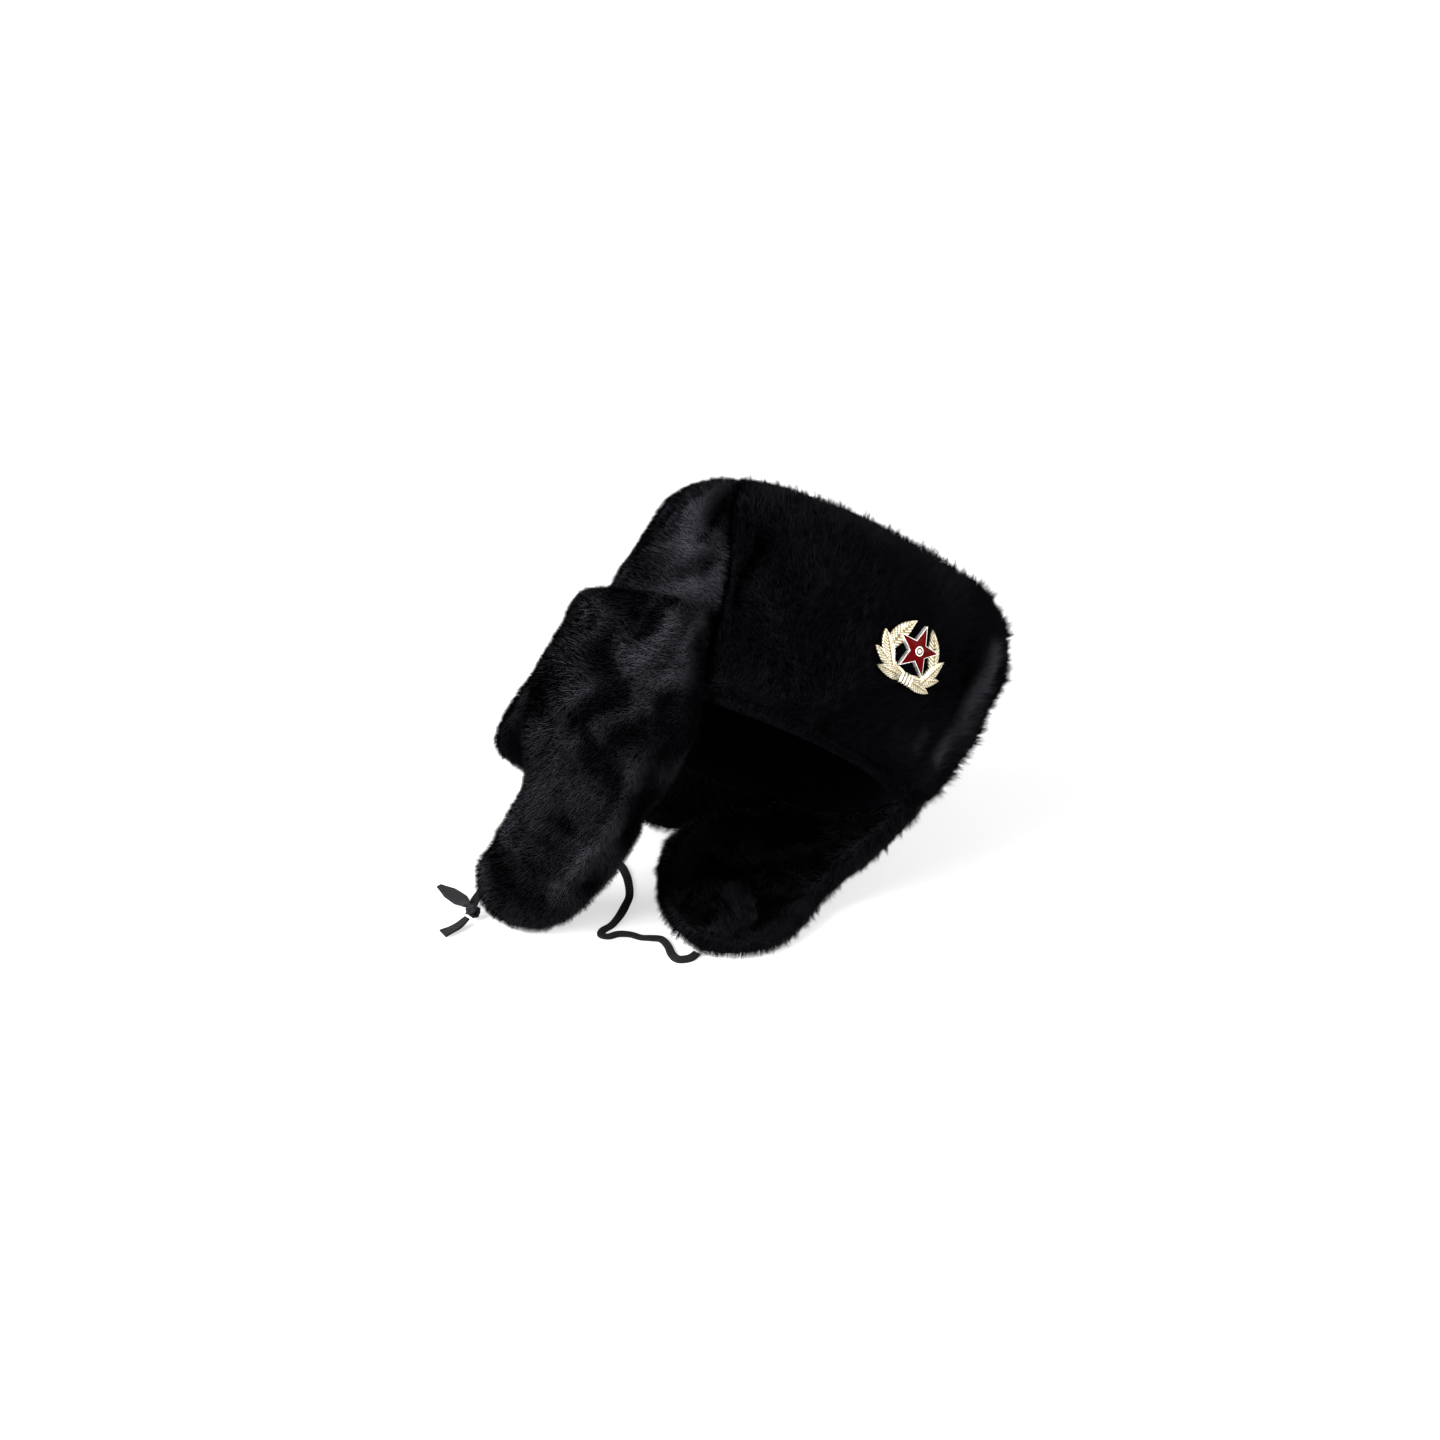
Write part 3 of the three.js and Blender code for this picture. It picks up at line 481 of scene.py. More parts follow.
def make_tie():
    line = smooth_line(TIE_ROUTE, TAPE["rings"])
    widths = TAPE["width"] * (0.98 + 0.07 * np.sin(np.linspace(0, 40, len(line))))
    roll = lambda share: 0.12 * math.sin(23 * share) + 0.08 * math.sin(61 * share)
    parts = tape_parts(line, widths, TAPE["thick"], roll)
    tape = add_object("tie_tape", mesh_of("tie_tape", *parts), TAPE_CLOTH)
    belongs(tape, "tape", "tie_cord")

    knot = make_knot()
    belongs(knot, "tape", "tie_knot")

    ends = []
    for name, end in TIE_ENDS.items():
        end_line = smooth_line(end["rows"], END_TAPE["rings"])
        shares = np.linspace(0, 1, END_TAPE["rings"])
        widths = np.interp(shares, np.linspace(0, 1, len(end["rows"])), end["widths"])
        roll = lambda share, sway=end["sway"]: sway * math.sin(3 * share)
        parts = tape_parts(end_line, widths, END_TAPE["thick"], roll)
        ends.append(add_object(name, mesh_of(name, *parts), TAPE_CLOTH))
        belongs(ends[-1], "tape", end["node"])


# Skins: the cloth of each piece, drawn in by the depth of its pile, with its folds.

# Size of the even mesh's cells, rounds and strength of smoothing, the most that the pile takes and the
# share of the solid's thickness, how far folds sink and stand out, how far the cloth stays above the
# floor, and how full a piece is.
SKIN = {
    "voxel": 2.8, "soften": 5, "soft_factor": 0.6, "deep": 2.3, "share": 0.34,
    "sunk": -4.2, "proud": 2.0, "floor": 0.6, "fill": 0.6,
}
# Where these pieces lie close, their cloth comes nearer and longer pile closes over the join.
JOINS = {"neck_flap": "ear_flap_left", "ear_flap_left": "neck_flap"}
JOIN = {"reach": (1.5, 10.0), "nearer": 0.8, "pile": 6.4}
# The band of the crown that the side flaps are sewn over: degrees from the front, and height.
BAND_ANGLE = (42, 47)
BAND_HEIGHT = (34, 39.5)
# Which way is out of the head: height counts only above the start of the dome, and a little less.
DOME = {"from": 50, "share": 0.9}
# Between these the crown's pile begins, and a flap's inner face ends: -1 faces in, 1 faces out.
CROWN_OUTSIDE = (-0.15, 0.3)
FLAP_OUTSIDE = (-0.3, 0.1)
# The front flap's inner pile is pressed thin below these heights; the others are sewn on above these.
PRESSED = {"share": 0.85, "height": (40, 75)}
SEWN_HEIGHT = (0, 6)

# Folds of the cloth: where each runs, how far it stands proud, and how wide it is. What is seen is
# points of the photograph; a line that hides or stands off the cloth is chosen in millimetres.
FOLDS = {
    "crown": [
        {"seen": [(733, 479), (725, 489), (714, 505), (704, 529)], "rise": -3.2, "reach": 5},
        {"seen": [(683, 566), (706, 557)], "rise": -2.2, "reach": 7},
        {"seen": [(690, 501), (680, 517)], "rise": 1.6, "reach": 12},
        {"line": [(-41, -24, 196), (-38, -12, 196)], "rise": -4.0, "reach": 8},
    ],
    "front_flap": [
        {"seen": [(754, 542), (742, 566), (733, 583), (730, 602)], "rise": -3.4, "reach": 5.5},
        {"seen": [(966, 659), (962, 704), (955, 739), (943, 763)], "rise": -3.8, "reach": 6},
        {"seen": [(990, 661), (978, 704), (950, 751), (922, 782)], "rise": 2.6, "reach": 7},
        {"line": [(9, -105, 128), (3, -103, 136)], "rise": 1.2, "reach": 9},
    ],
    "ear_flap_right": [
        {"seen": [(593, 641), (595, 668)], "rise": -2.6, "reach": 8},
        {"seen": [(616, 695), (590, 708), (566, 724)], "rise": -3.2, "reach": 7},
        {"line": [(-64, 8, 179), (-60, 0, 181)], "rise": -2.2, "reach": 8},
        {"seen": [(670, 622), (640, 650)], "rise": 2.0, "reach": 8},
        {"seen": [(674, 677), (643, 704), (626, 718), (595, 726)], "rise": 2.4, "reach": 6.5},
        {"seen": [(583, 687), (558, 708)], "rise": 1.8, "reach": 6},
        {"seen": [(649, 699), (630, 728), (616, 741)], "rise": -2.8, "reach": 6},
        {
            "seen": [(663, 741), (636, 772), (626, 797), (611, 828), (590, 852), (566, 877)],
            "rise": 2.6,
            "reach": 4.2,
        },
        {"seen": [(667, 703), (653, 766), (643, 797), (632, 828)], "rise": -2.2, "reach": 7},
    ],
}
# Folds and crumples fade out where the pile is shallower than this.
FOLDED_DEPTH = (0.6, 1.8)
# Crumples of each piece, by size and height, and how they wander and sharpen into ridges.
CRUMPLES = {
    "crown": ((20, 1.5), (10, 0.35)),
    "front_flap": ((22, 0.9), (10, 0.2)),
    "ear_flap_right": ((18, 1.9), (10, 0.35)),
    "ear_flap_left": ((20, 1.0), (10, 0.3)),
    "neck_flap": ((18, 1.5), (10, 0.3)),
}
CRUMPLE = {"wander": 0.35, "top": 0.5, "fall": 1.6, "power": 1.2}
# Patches of painted light and painted shade along lines on the pile: how much painted sheen each adds, or
# painted shade where below zero, and how wide it is.
PAINTED_LIGHT_PATCHES = {
    "crown": [
        {"seen": [(674, 586), (697, 596), (704, 610)], "painted_sheen_and_shade": 0.3, "reach": 7},
        {"seen": [(672, 556), (690, 540)], "painted_sheen_and_shade": 0.25, "reach": 6},
        {"seen": [(700, 506), (712, 490)], "painted_sheen_and_shade": 0.2, "reach": 6},
        {"line": [(6, 29, 211), (-10, 8, 213), (-24, -17, 210)], "painted_sheen_and_shade": -0.35, "reach": 8},
        {
            "line": [(-56, -45, 158), (-46, -63, 153), (-37, -73, 146), (-9, -84, 120), (20, -88, 93)],
            "painted_sheen_and_shade": -1,
            "reach": 7,
        },
    ],
    "front_flap": [
        {
            "seen": [(996, 652), (990, 668), (980, 690), (968, 712), (954, 736), (940, 758)],
            "painted_sheen_and_shade": 1.4,
            "reach": 4.2,
        },
        {"seen": [(926, 732), (914, 750)], "painted_sheen_and_shade": 0.4, "reach": 3},
        {"seen": [(1004, 650), (988, 690), (982, 704)], "painted_sheen_and_shade": -0.3, "reach": 3},
        {"line": [(-5, -8, 232), (30, -40, 220), (59, -75, 193)], "painted_sheen_and_shade": 0.16, "reach": 12},
    ],
    "ear_flap_right": [
        {"seen": [(536, 793), (524, 816), (508, 839)], "painted_sheen_and_shade": 0.25, "reach": 10},
        {"seen": [(554, 761), (543, 779)], "painted_sheen_and_shade": 0.15, "reach": 9},
        {"seen": [(619, 825), (589, 853), (564, 876), (552, 889)], "painted_sheen_and_shade": 0.8, "reach": 2.4},
        {"seen": [(648, 800), (640, 820), (640, 838), (612, 865), (588, 886)], "painted_sheen_and_shade": -0.35, "reach": 6},
        {"seen": [(614, 639), (624, 662), (646, 650), (669, 622)], "painted_sheen_and_shade": 0.35, "reach": 6},
        {"seen": [(665, 678), (651, 700), (625, 722)], "painted_sheen_and_shade": 0.25, "reach": 5},
        {"seen": [(574, 612), (563, 646)], "painted_sheen_and_shade": 0.15, "reach": 6},
        {"seen": [(524, 731), (559, 736)], "painted_sheen_and_shade": 0.25, "reach": 8},
        {"seen": [(554, 706), (589, 685)], "painted_sheen_and_shade": 0.12, "reach": 6},
        {"seen": [(600, 599), (625, 594), (655, 602), (685, 617)], "painted_sheen_and_shade": -0.4, "reach": 9},
        {"seen": [(607, 625), (607, 662), (612, 674)], "painted_sheen_and_shade": -0.3, "reach": 4.5},
        {"seen": [(656, 668), (667, 661)], "painted_sheen_and_shade": -0.35, "reach": 5},
        {"seen": [(544, 680), (537, 699)], "painted_sheen_and_shade": -0.4, "reach": 8},
        {"seen": [(566, 724), (593, 708), (614, 701)], "painted_sheen_and_shade": -0.3, "reach": 5},
        {"seen": [(674, 699), (660, 719), (646, 740)], "painted_sheen_and_shade": -0.35, "reach": 8},
        {"seen": [(605, 774), (619, 797), (626, 832)], "painted_sheen_and_shade": -0.3, "reach": 10},
        {"seen": [(547, 823), (566, 827)], "painted_sheen_and_shade": -0.3, "reach": 6},
        {"seen": [(524, 860), (536, 869)], "painted_sheen_and_shade": -0.2, "reach": 5},
        {"seen": [(702, 680), (695, 710), (688, 740)], "painted_sheen_and_shade": -0.4, "reach": 7},
        {"seen": [(688, 740), (676, 770), (662, 800)], "painted_sheen_and_shade": -0.25, "reach": 6},
    ],
}


def facing_out(local, local_normals):
    """How far a surface looks away from the middle of the head, from -1 to 1."""
    above = DOME["share"] * np.maximum(0, local[:, 2] - DOME["from"])
    away = np.stack([local[:, 0], local[:, 1], above], axis=1)
    return np.sum(unit(away) * local_normals, axis=1)


def crown_cover(local, facing):
    """Pile outside; none inside, nor on the band that the flaps cover."""
    angle = np.abs(np.degrees(np.arctan2(-local[:, 0], -local[:, 1])))
    band = smoothstep(angle, *BAND_ANGLE) * (1 - smoothstep(local[:, 2], *BAND_HEIGHT))
    return smoothstep(facing, *CROWN_OUTSIDE) * (1 - band)


def front_cover(local, facing):
    """Pile all over, pressed thin low down against the crown."""
    inner = 1 - smoothstep(facing, *FLAP_OUTSIDE)
    return 1 - PRESSED["share"] * inner * (1 - smoothstep(local[:, 2], *PRESSED["height"]))


def flap_cover(local, facing):
    """Pile on both faces, but none where the flap is sewn over the band."""
    inner = 1 - smoothstep(facing, *FLAP_OUTSIDE)
    return 1 - smoothstep(local[:, 2], *SEWN_HEIGHT) * inner


COVERS = {
    "crown": crown_cover,
    "front_flap": front_cover,
    "ear_flap_right": flap_cover,
    "ear_flap_left": flap_cover,
    "neck_flap": flap_cover,
}


def even_mesh(node):
    """The node's solid as an even, smoothed mesh."""
    piece = bpy.data.objects.new(node + "_even", NODES[node].data.copy())
    bpy.context.scene.collection.objects.link(piece)
    remesh = piece.modifiers.new("even", "REMESH")
    remesh.mode = "VOXEL"
    remesh.voxel_size = SKIN["voxel"] * MM
    soften = piece.modifiers.new("soften", "SMOOTH")
    soften.factor = SKIN["soft_factor"]
    soften.iterations = SKIN["soften"]
    graph = bpy.context.evaluated_depsgraph_get()
    mesh = bpy.data.meshes.new_from_object(piece.evaluated_get(graph))
    bpy.data.objects.remove(piece)
    mesh.name = node + "_skin"
    mesh.polygons.foreach_set("use_smooth", [True] * len(mesh.polygons))
    return mesh


def from_line(points, line):
    """Distance of points from a line of points."""
    line = [np.array(p, float) for p in line]
    nearest = np.full(len(points), 1e9)
    for start, end in zip(line[:-1], line[1:]):
        run = end - start
        share = np.clip((points - start) @ run / (run @ run), 0, 1)
        nearest = np.minimum(nearest, np.linalg.norm(points - start - share[:, None] * run, axis=1))
    return nearest


def surface_tree(mesh):
    """The faces of a mesh in millimetres, for rays and for the nearest place."""
    points, _ = mesh_arrays(mesh)
    return BVHTree.FromPolygons([Vector(p) for p in points], [tuple(f.vertices) for f in mesh.polygons])


def thickness(mesh, points, normals, most=30.0, under=0.3):
    """How thick the solid is below each vertex, up to a most, from a little under its surface."""
    tree = surface_tree(mesh)
    thick = np.full(len(points), most)
    for i, (point, normal) in enumerate(zip(points, normals)):
        inward = -Vector(normal)
        distance = tree.ray_cast(Vector(point) + inward * under, inward, most)[3]
        if distance is not None:
            thick[i] = distance + under
    return thick


SOLIDS = [surface_tree(NODES[node].data) for node in COVERS]


def line_of(mark):
    """A fold's or painted patch's points; each seen one is where the camera's ray meets a solid, rounded."""
    if "line" in mark:
        return mark["line"]
    focal = CAMERA["lens"] / CAMERA["sensor"] * PHOTO_WIDTH
    eye = placed(CAMERA["place"]) / MM
    line = []
    for x, y in mark["seen"]:
        ray = Vector((x - PHOTO_WIDTH / 2, PHOTO_WIDTH / 2 - y, -focal))
        ray.rotate(CAMERA["turn"])
        hits = [hit for hit in (tree.ray_cast(eye, ray) for tree in SOLIDS) if hit[0]]
        if hits:
            line.append(np.round(min(hits, key=lambda hit: hit[3])[0]))
    return line


def make_skin(node, mesh, close):
    """The cloth skin of a piece, with the pile's depth, fold height and extra length at its vertices."""
    points, normals = mesh_arrays(mesh)
    local = in_hat(points)
    cover = COVERS[node](local, facing_out(local, normals @ HAT_TURN))
    depth = np.minimum(SKIN["deep"], SKIN["share"] * thickness(mesh, points, normals)) * cover
    joined = np.zeros(len(points))
    if close:
        away = np.array([close.find_nearest(Vector(p))[3] for p in points])
        joined = 1 - smoothstep(away, *JOIN["reach"])
        depth *= 1 - JOIN["nearer"] * joined
    rise = np.zeros(len(points))
    for k, (size, height) in enumerate(CRUMPLES[node]):
        shift = np.stack([noise(points, size, 7 * k + j) for j in range(3)], axis=1)
        warped = points + CRUMPLE["wander"] * size * shift
        ridges = np.abs(noise(warped, size, 90 + k)) ** CRUMPLE["power"]
        rise += height * (CRUMPLE["top"] - CRUMPLE["fall"] * ridges)
    for fold in FOLDS.get(node, ()):
        away = from_line(points, line_of(fold)) / fold["reach"]
        rise += fold["rise"] * np.exp(-away * away)
    rise = np.clip(rise, SKIN["sunk"], SKIN["proud"]) * smoothstep(depth, *FOLDED_DEPTH)
    moved = points + normals * (rise - depth)[:, None]
    moved[:, 2] = np.maximum(moved[:, 2], SKIN["floor"])
    set_places(mesh, moved)
    pile = {"deep": depth, "rise": rise, "over": JOIN["pile"] * joined}
    return add_object(node + "_skin", mesh, BACKING), pile


# Pile.

# Strands sown on each piece, the way the pile lies in the hat's axes, its lean in degrees,
# how that lean varies, how far the tips reach past the depth of the pile, how much painted sheen
# its colour carries (little on the front flap, in painted shade as it faces away from the key lamp),
# how strongly that painted sheen and shade varies, what each millimetre of a fold adds to it as
# painted light on ridges and painted shade in creases, and how much longer the tufts are.
PILE = {
    "crown": {
        "strands": 194000, "flow": (0.1, 0.35, -1.0), "lean": 14, "vary": 8, "reach": 0.6,
        "painted_sheen_and_shade": 0.32, "mottled": 0.38, "fold_painted_light": 0.14, "tufted": 0.5, "seed": 11,
    },
    "front_flap": {
        "strands": 185000, "flow": (-0.35, 0.0, 1.0), "lean": 22, "vary": 12, "reach": 1.1,
        "painted_sheen_and_shade": 0.03, "mottled": 0.05, "fold_painted_light": 0.05, "tufted": 1.5, "seed": 23,
    },
    "ear_flap_right": {
        "strands": 194000, "flow": (0.0, 0.35, -1.0), "lean": 14, "vary": 8, "reach": 0.6,
        "painted_sheen_and_shade": 0.37, "mottled": 0.32, "fold_painted_light": 0.13, "tufted": 0.6, "seed": 37,
    },
    "ear_flap_left": {
        "strands": 150000, "flow": (0.3, 0.1, -1.0), "lean": 30, "vary": 16, "reach": 1.0,
        "painted_sheen_and_shade": 0.24, "mottled": 0.07, "fold_painted_light": 0.04, "tufted": 0.9, "seed": 53,
    },
    "neck_flap": {
        "strands": 90000, "flow": (0.0, 0.3, -1.0), "lean": 36, "vary": 16, "reach": 0.9,
        "painted_sheen_and_shade": 0.12, "mottled": 0.08, "fold_painted_light": 0.05, "tufted": 0.5, "seed": 71,
    },
}
# A strand's width at its foot, and how it varies, as its length does.
STRAND = {"width": 0.42, "least_width": 0.6, "most_width": 1.25, "least_length": 0.75, "most_length": 1.06}
# Tufts are noise of a size that pulls strands aside; past "from" it makes them longer, by a gain.
TUFT = {"size": 3.0, "pull": 0.12, "stray": 0.3, "gain": 5.0, "from": 0.5}
# Normals of the strands: how much of the skin's normal and of the lean, and how far they stray.
SHADE = {"skin": 1.0, "lean": 0.8, "stray": 0.06}
# Noise over the pile, by the size of its patches and how much it counts: in degrees for the way that
# the strands lie, in shares of "vary" for their lean, in millimetres for their height, and in painted sheen
# and shade for the mottle.
NAP = {
    "swirl_warp": (12, 4), "swirl": (17, 2.6), "turn": (30, 40), "wide_lean": (18, 1), "fine_lean": (9, 0.4),
    "height": (12, 0.5), "wide_mottle": (28, 0.5), "fine_mottle": (9, 0.15),
}
# How many degrees the swirl turns the nap, and how much of it goes into the painted sheen and shade.
SWIRL = {"turn": 30, "mottle": 0.55}
LEAN_RANGE = (8, 70)
LEAST_STRAND = 0.8
# Fold heights in millimetres that count towards painted light on ridges and painted shade in creases.
FOLD_RANGE = (-3, 2.4)
# Where the pile is too shallow to sow, and how few strands grow where other pieces close over it.
SOWN_DEPTH = (0.15, 0.7)
CLOSED_SHARE = 0.06
OPEN_RANGE = (0, 0.4)
FURRED_DEPTH = (0.3, 1.2)


def add_vectors(mesh, name, values):
    attribute = mesh.attributes.new(name, "FLOAT_VECTOR", "POINT")
    attribute.data.foreach_set("vector", values.astype(np.float32).ravel())


def add_numbers(mesh, name, values):
    attribute = mesh.attributes.new(name, "FLOAT", "POINT")
    attribute.data.foreach_set("value", values.astype(np.float32))


# Rays that look for open air: their length, where they start above the skin, and tilt and turn of each.
AIR = {"reach": 9.0, "start": 0.5, "rays": ((0, 0), (50, 0), (50, 90), (50, 180), (50, 270))}


def open_air(points, normals, others):
    """How open to the air each vertex is, from 0 where other pieces or the floor close over it."""
    reach = AIR["reach"]
    free = np.zeros(len(points))
    for i, (point, normal) in enumerate(zip(points, normals)):
        out = Vector(normal)
        side = out.orthogonal().normalized()
        other = out.cross(side)
        start = Vector(point) + out * AIR["start"]
        for tilt, turn in AIR["rays"]:
            tilt, turn = math.radians(tilt), math.radians(turn)
            aside = side * math.cos(turn) + other * math.sin(turn)
            ray = out * math.cos(tilt) + aside * math.sin(tilt)
            blocked = start.z + reach * ray.z < 0 and normal[2] < -0.5
            free[i] += not (blocked or any(tree.ray_cast(start, ray, reach)[0] for tree in others))
    return free / len(AIR["rays"])


def prepare_pile(mesh, pile, look, painted_patches, others):
    """Writes on a skin where strands grow, which way they head, how their normals catch the light, and the
    painted sheen and shade of their colour.
    """
    points, normals = mesh_arrays(mesh)

    def nap(name, step, places=points):
        size, gain = NAP[name]
        return gain * noise(places, size, look["seed"] + step)

    flow = HAT_TURN @ np.array(look["flow"])
    along = unit(flow - normals * (normals @ flow)[:, None])
    aside = np.cross(normals, along)
    swirl = np.tanh(nap("swirl", 1, points + nap("swirl_warp", 8)[:, None]))
    turn = np.radians(nap("turn", 0) + SWIRL["turn"] * swirl)
    lay = along * np.cos(turn)[:, None] + aside * np.sin(turn)[:, None]
    lean = look["lean"] + look["vary"] * (nap("wide_lean", 2) + nap("fine_lean", 3))
    lean = np.radians(np.clip(lean, *LEAN_RANGE))
    height = pile["deep"] + pile["over"] + look["reach"] + nap("height", 4)
    heading = normals + lay * np.tan(lean)[:, None]
    strand = heading * np.maximum(height, LEAST_STRAND)[:, None]
    shade = unit(normals * SHADE["skin"] + lay * np.sin(lean)[:, None] * SHADE["lean"])
    open_share = smoothstep(open_air(points, normals, others), *OPEN_RANGE)
    sown = smoothstep(pile["deep"], *SOWN_DEPTH) * (CLOSED_SHARE + (1 - CLOSED_SHARE) * open_share)
    # Painted sheen and shade: nap patches lighter or darker as if catching the light, fold ridges lighter and
    # creases darker, and the listed patches of painted light and shade.
    mottle = SWIRL["mottle"] * swirl + nap("wide_mottle", 6) + nap("fine_mottle", 7)
    painted_sheen_and_shade = look["painted_sheen_and_shade"] + look["mottled"] * mottle
    painted_sheen_and_shade = painted_sheen_and_shade + look["fold_painted_light"] * np.clip(pile["rise"], *FOLD_RANGE)
    for painted_patch in painted_patches:
        away = from_line(points, line_of(painted_patch)) / painted_patch["reach"]
        painted_sheen_and_shade += painted_patch["painted_sheen_and_shade"] * np.exp(-away * away)
    add_vectors(mesh, "strand", strand * MM)
    add_vectors(mesh, "shade", shade)
    add_numbers(mesh, "sown", sown)
    add_numbers(mesh, "painted_sheen_and_shade", np.clip(painted_sheen_and_shade, 0, 1))
    add_numbers(mesh, "furred", smoothstep(pile["deep"], *FURRED_DEPTH))
    mesh.calc_loop_triangles()
    corners = np.empty(len(mesh.loop_triangles) * 3, np.int32)
    mesh.loop_triangles.foreach_get("vertices", corners)
    corners = corners.reshape(-1, 3)
    a, b, c = (points[corners[:, k]] for k in range(3))
    area = np.linalg.norm(np.cross(b - a, c - a), axis=1) / 2
    return float((area * sown[corners].mean(axis=1)).sum())


def named(tree, name, kind):
    node = add_node(tree, "GeometryNodeInputNamedAttribute", {"data_type": kind}, {"Name": name})
    return node.out("Attribute")


def vector_math(tree, operation, first, second):
    key = "Scale" if operation == "SCALE" else 1
    sockets = {0: first, key: second}
    return add_node(tree, "ShaderNodeVectorMath", {"operation": operation}, sockets).out("Vector")


def blade(tree):
    """One strand: a circle of three corners drawn out to a thin triangle, a unit long and wide."""
    ring = add_node(tree, "GeometryNodeMeshCircle", {"fill_type": "NGON"}, {"Vertices": 3, "Radius": 1.0})
    place = add_node(tree, "GeometryNodeInputPosition").out("Position")
    parts = add_node(tree, "ShaderNodeSeparateXYZ", None, {"Vector": place})
    upward = (parts.out("X") + 0.5) * (1 / 1.5)
    across = parts.out("Y") * (1 / 1.732)
    stood = add_node(tree, "ShaderNodeCombineXYZ", None, {"X": across, "Y": 0.0, "Z": upward}).out("Vector")
    return add_node(tree, "GeometryNodeSetPosition", None, {"Geometry": ring.out("Mesh"), "Position": stood})


def pile_tree():
    """Strands on a skin: sown by density, headed by the skin's attributes, tufted and strayed."""
    tree = bpy.data.node_groups.new("pile", "GeometryNodeTree")
    face = tree.interface
    face.new_socket("Skin", in_out="INPUT", socket_type="NodeSocketGeometry")
    for name, kind in (
        ("Density", "NodeSocketFloat"), ("Seed", "NodeSocketInt"), ("Width", "NodeSocketFloat"),
        ("Tuft Size", "NodeSocketFloat"), ("Tuft Pull", "NodeSocketFloat"), ("Tuft Rise", "NodeSocketFloat"),
        ("Stray", "NodeSocketFloat"),
    ):
        face.new_socket(name, in_out="INPUT", socket_type=kind)
    face.new_socket("Pile", in_out="OUTPUT", socket_type="NodeSocketGeometry")
    given = add_node(tree, "NodeGroupInput")
    seed = given.out("Seed")

    def chance(kind, low, high, step):
        sockets = {"Min": low, "Max": high, "Seed": seed + step}
        return add_node(tree, "FunctionNodeRandomValue", {"data_type": kind}, sockets).out("Value")

    density = given.out("Density") * named(tree, "sown", "FLOAT")
    sown = add_node(
        tree, "GeometryNodeDistributePointsOnFaces", {"distribute_method": "RANDOM"},
        {"Mesh": given.out("Skin"), "Density": density, "Seed": seed},
    )
    place = add_node(tree, "GeometryNodeInputPosition").out("Position")
    sockets = {"Vector": place, "Scale": 1.0 / given.out("Tuft Size"), "Detail": 1.0}
    tufts = add_node(tree, "ShaderNodeTexNoise", None, sockets)
    centred = vector_math(tree, "SUBTRACT", tufts.out("Color"), (0.5, 0.5, 0.5))
    pulled = vector_math(tree, "SCALE", centred, given.out("Tuft Pull") * 4)
    strayed = chance("FLOAT_VECTOR", (-1, -1, -1), (1, 1, 1), 1)
    strayed = vector_math(tree, "SCALE", strayed, given.out("Stray"))
    strand = vector_math(tree, "ADD", pulled, strayed)
    strand = vector_math(tree, "ADD", named(tree, "strand", "FLOAT_VECTOR"), strand)
    reach = add_node(tree, "ShaderNodeVectorMath", {"operation": "LENGTH"}, {0: strand}).out("Value")
    peak = (tufts.out("Fac") - TUFT["from"]) * TUFT["gain"]
    peak = add_node(tree, "ShaderNodeClamp", None, {"Value": peak}).out("Result")
    tall = peak * given.out("Tuft Rise") + 1.0
    length = reach * tall * chance("FLOAT", STRAND["least_length"], STRAND["most_length"], 2)
    wide = given.out("Width") * chance("FLOAT", STRAND["least_width"], STRAND["most_width"], 3)
    turn = add_node(
        tree, "FunctionNodeAlignRotationToVector", {"axis": "Z"},
        {"Rotation": sown.out("Rotation"), "Vector": strand},
    ).out("Rotation")
    spin = add_node(
        tree, "FunctionNodeAxisAngleToRotation", None,
        {"Axis": (0, 0, 1), "Angle": chance("FLOAT", 0.0, math.pi, 4)},
    ).out("Rotation")
    turn = add_node(
        tree, "FunctionNodeRotateRotation", {"rotation_space": "LOCAL"}, {"Rotation": turn, "Rotate By": spin}
    ).out("Rotation")
    scale = add_node(tree, "ShaderNodeCombineXYZ", None, {"X": wide, "Y": wide, "Z": length}).out("Vector")
    sockets = {"Points": sown.out("Points"), "Instance": blade(tree).out("Geometry")}
    sockets.update({"Rotation": turn, "Scale": scale})
    strands = add_node(tree, "GeometryNodeInstanceOnPoints", None, sockets)
    plain = add_node(tree, "GeometryNodeRealizeInstances", None, {"Geometry": strands.out("Instances")})
    sockets = {"Geometry": plain.out("Geometry"), "Material": FUR}
    finish = add_node(tree, "GeometryNodeSetMaterial", None, sockets)
    end = tree.nodes.new("NodeGroupOutput")
    tree.links.new(finish.out("Geometry").socket, end.inputs["Pile"])
    return tree


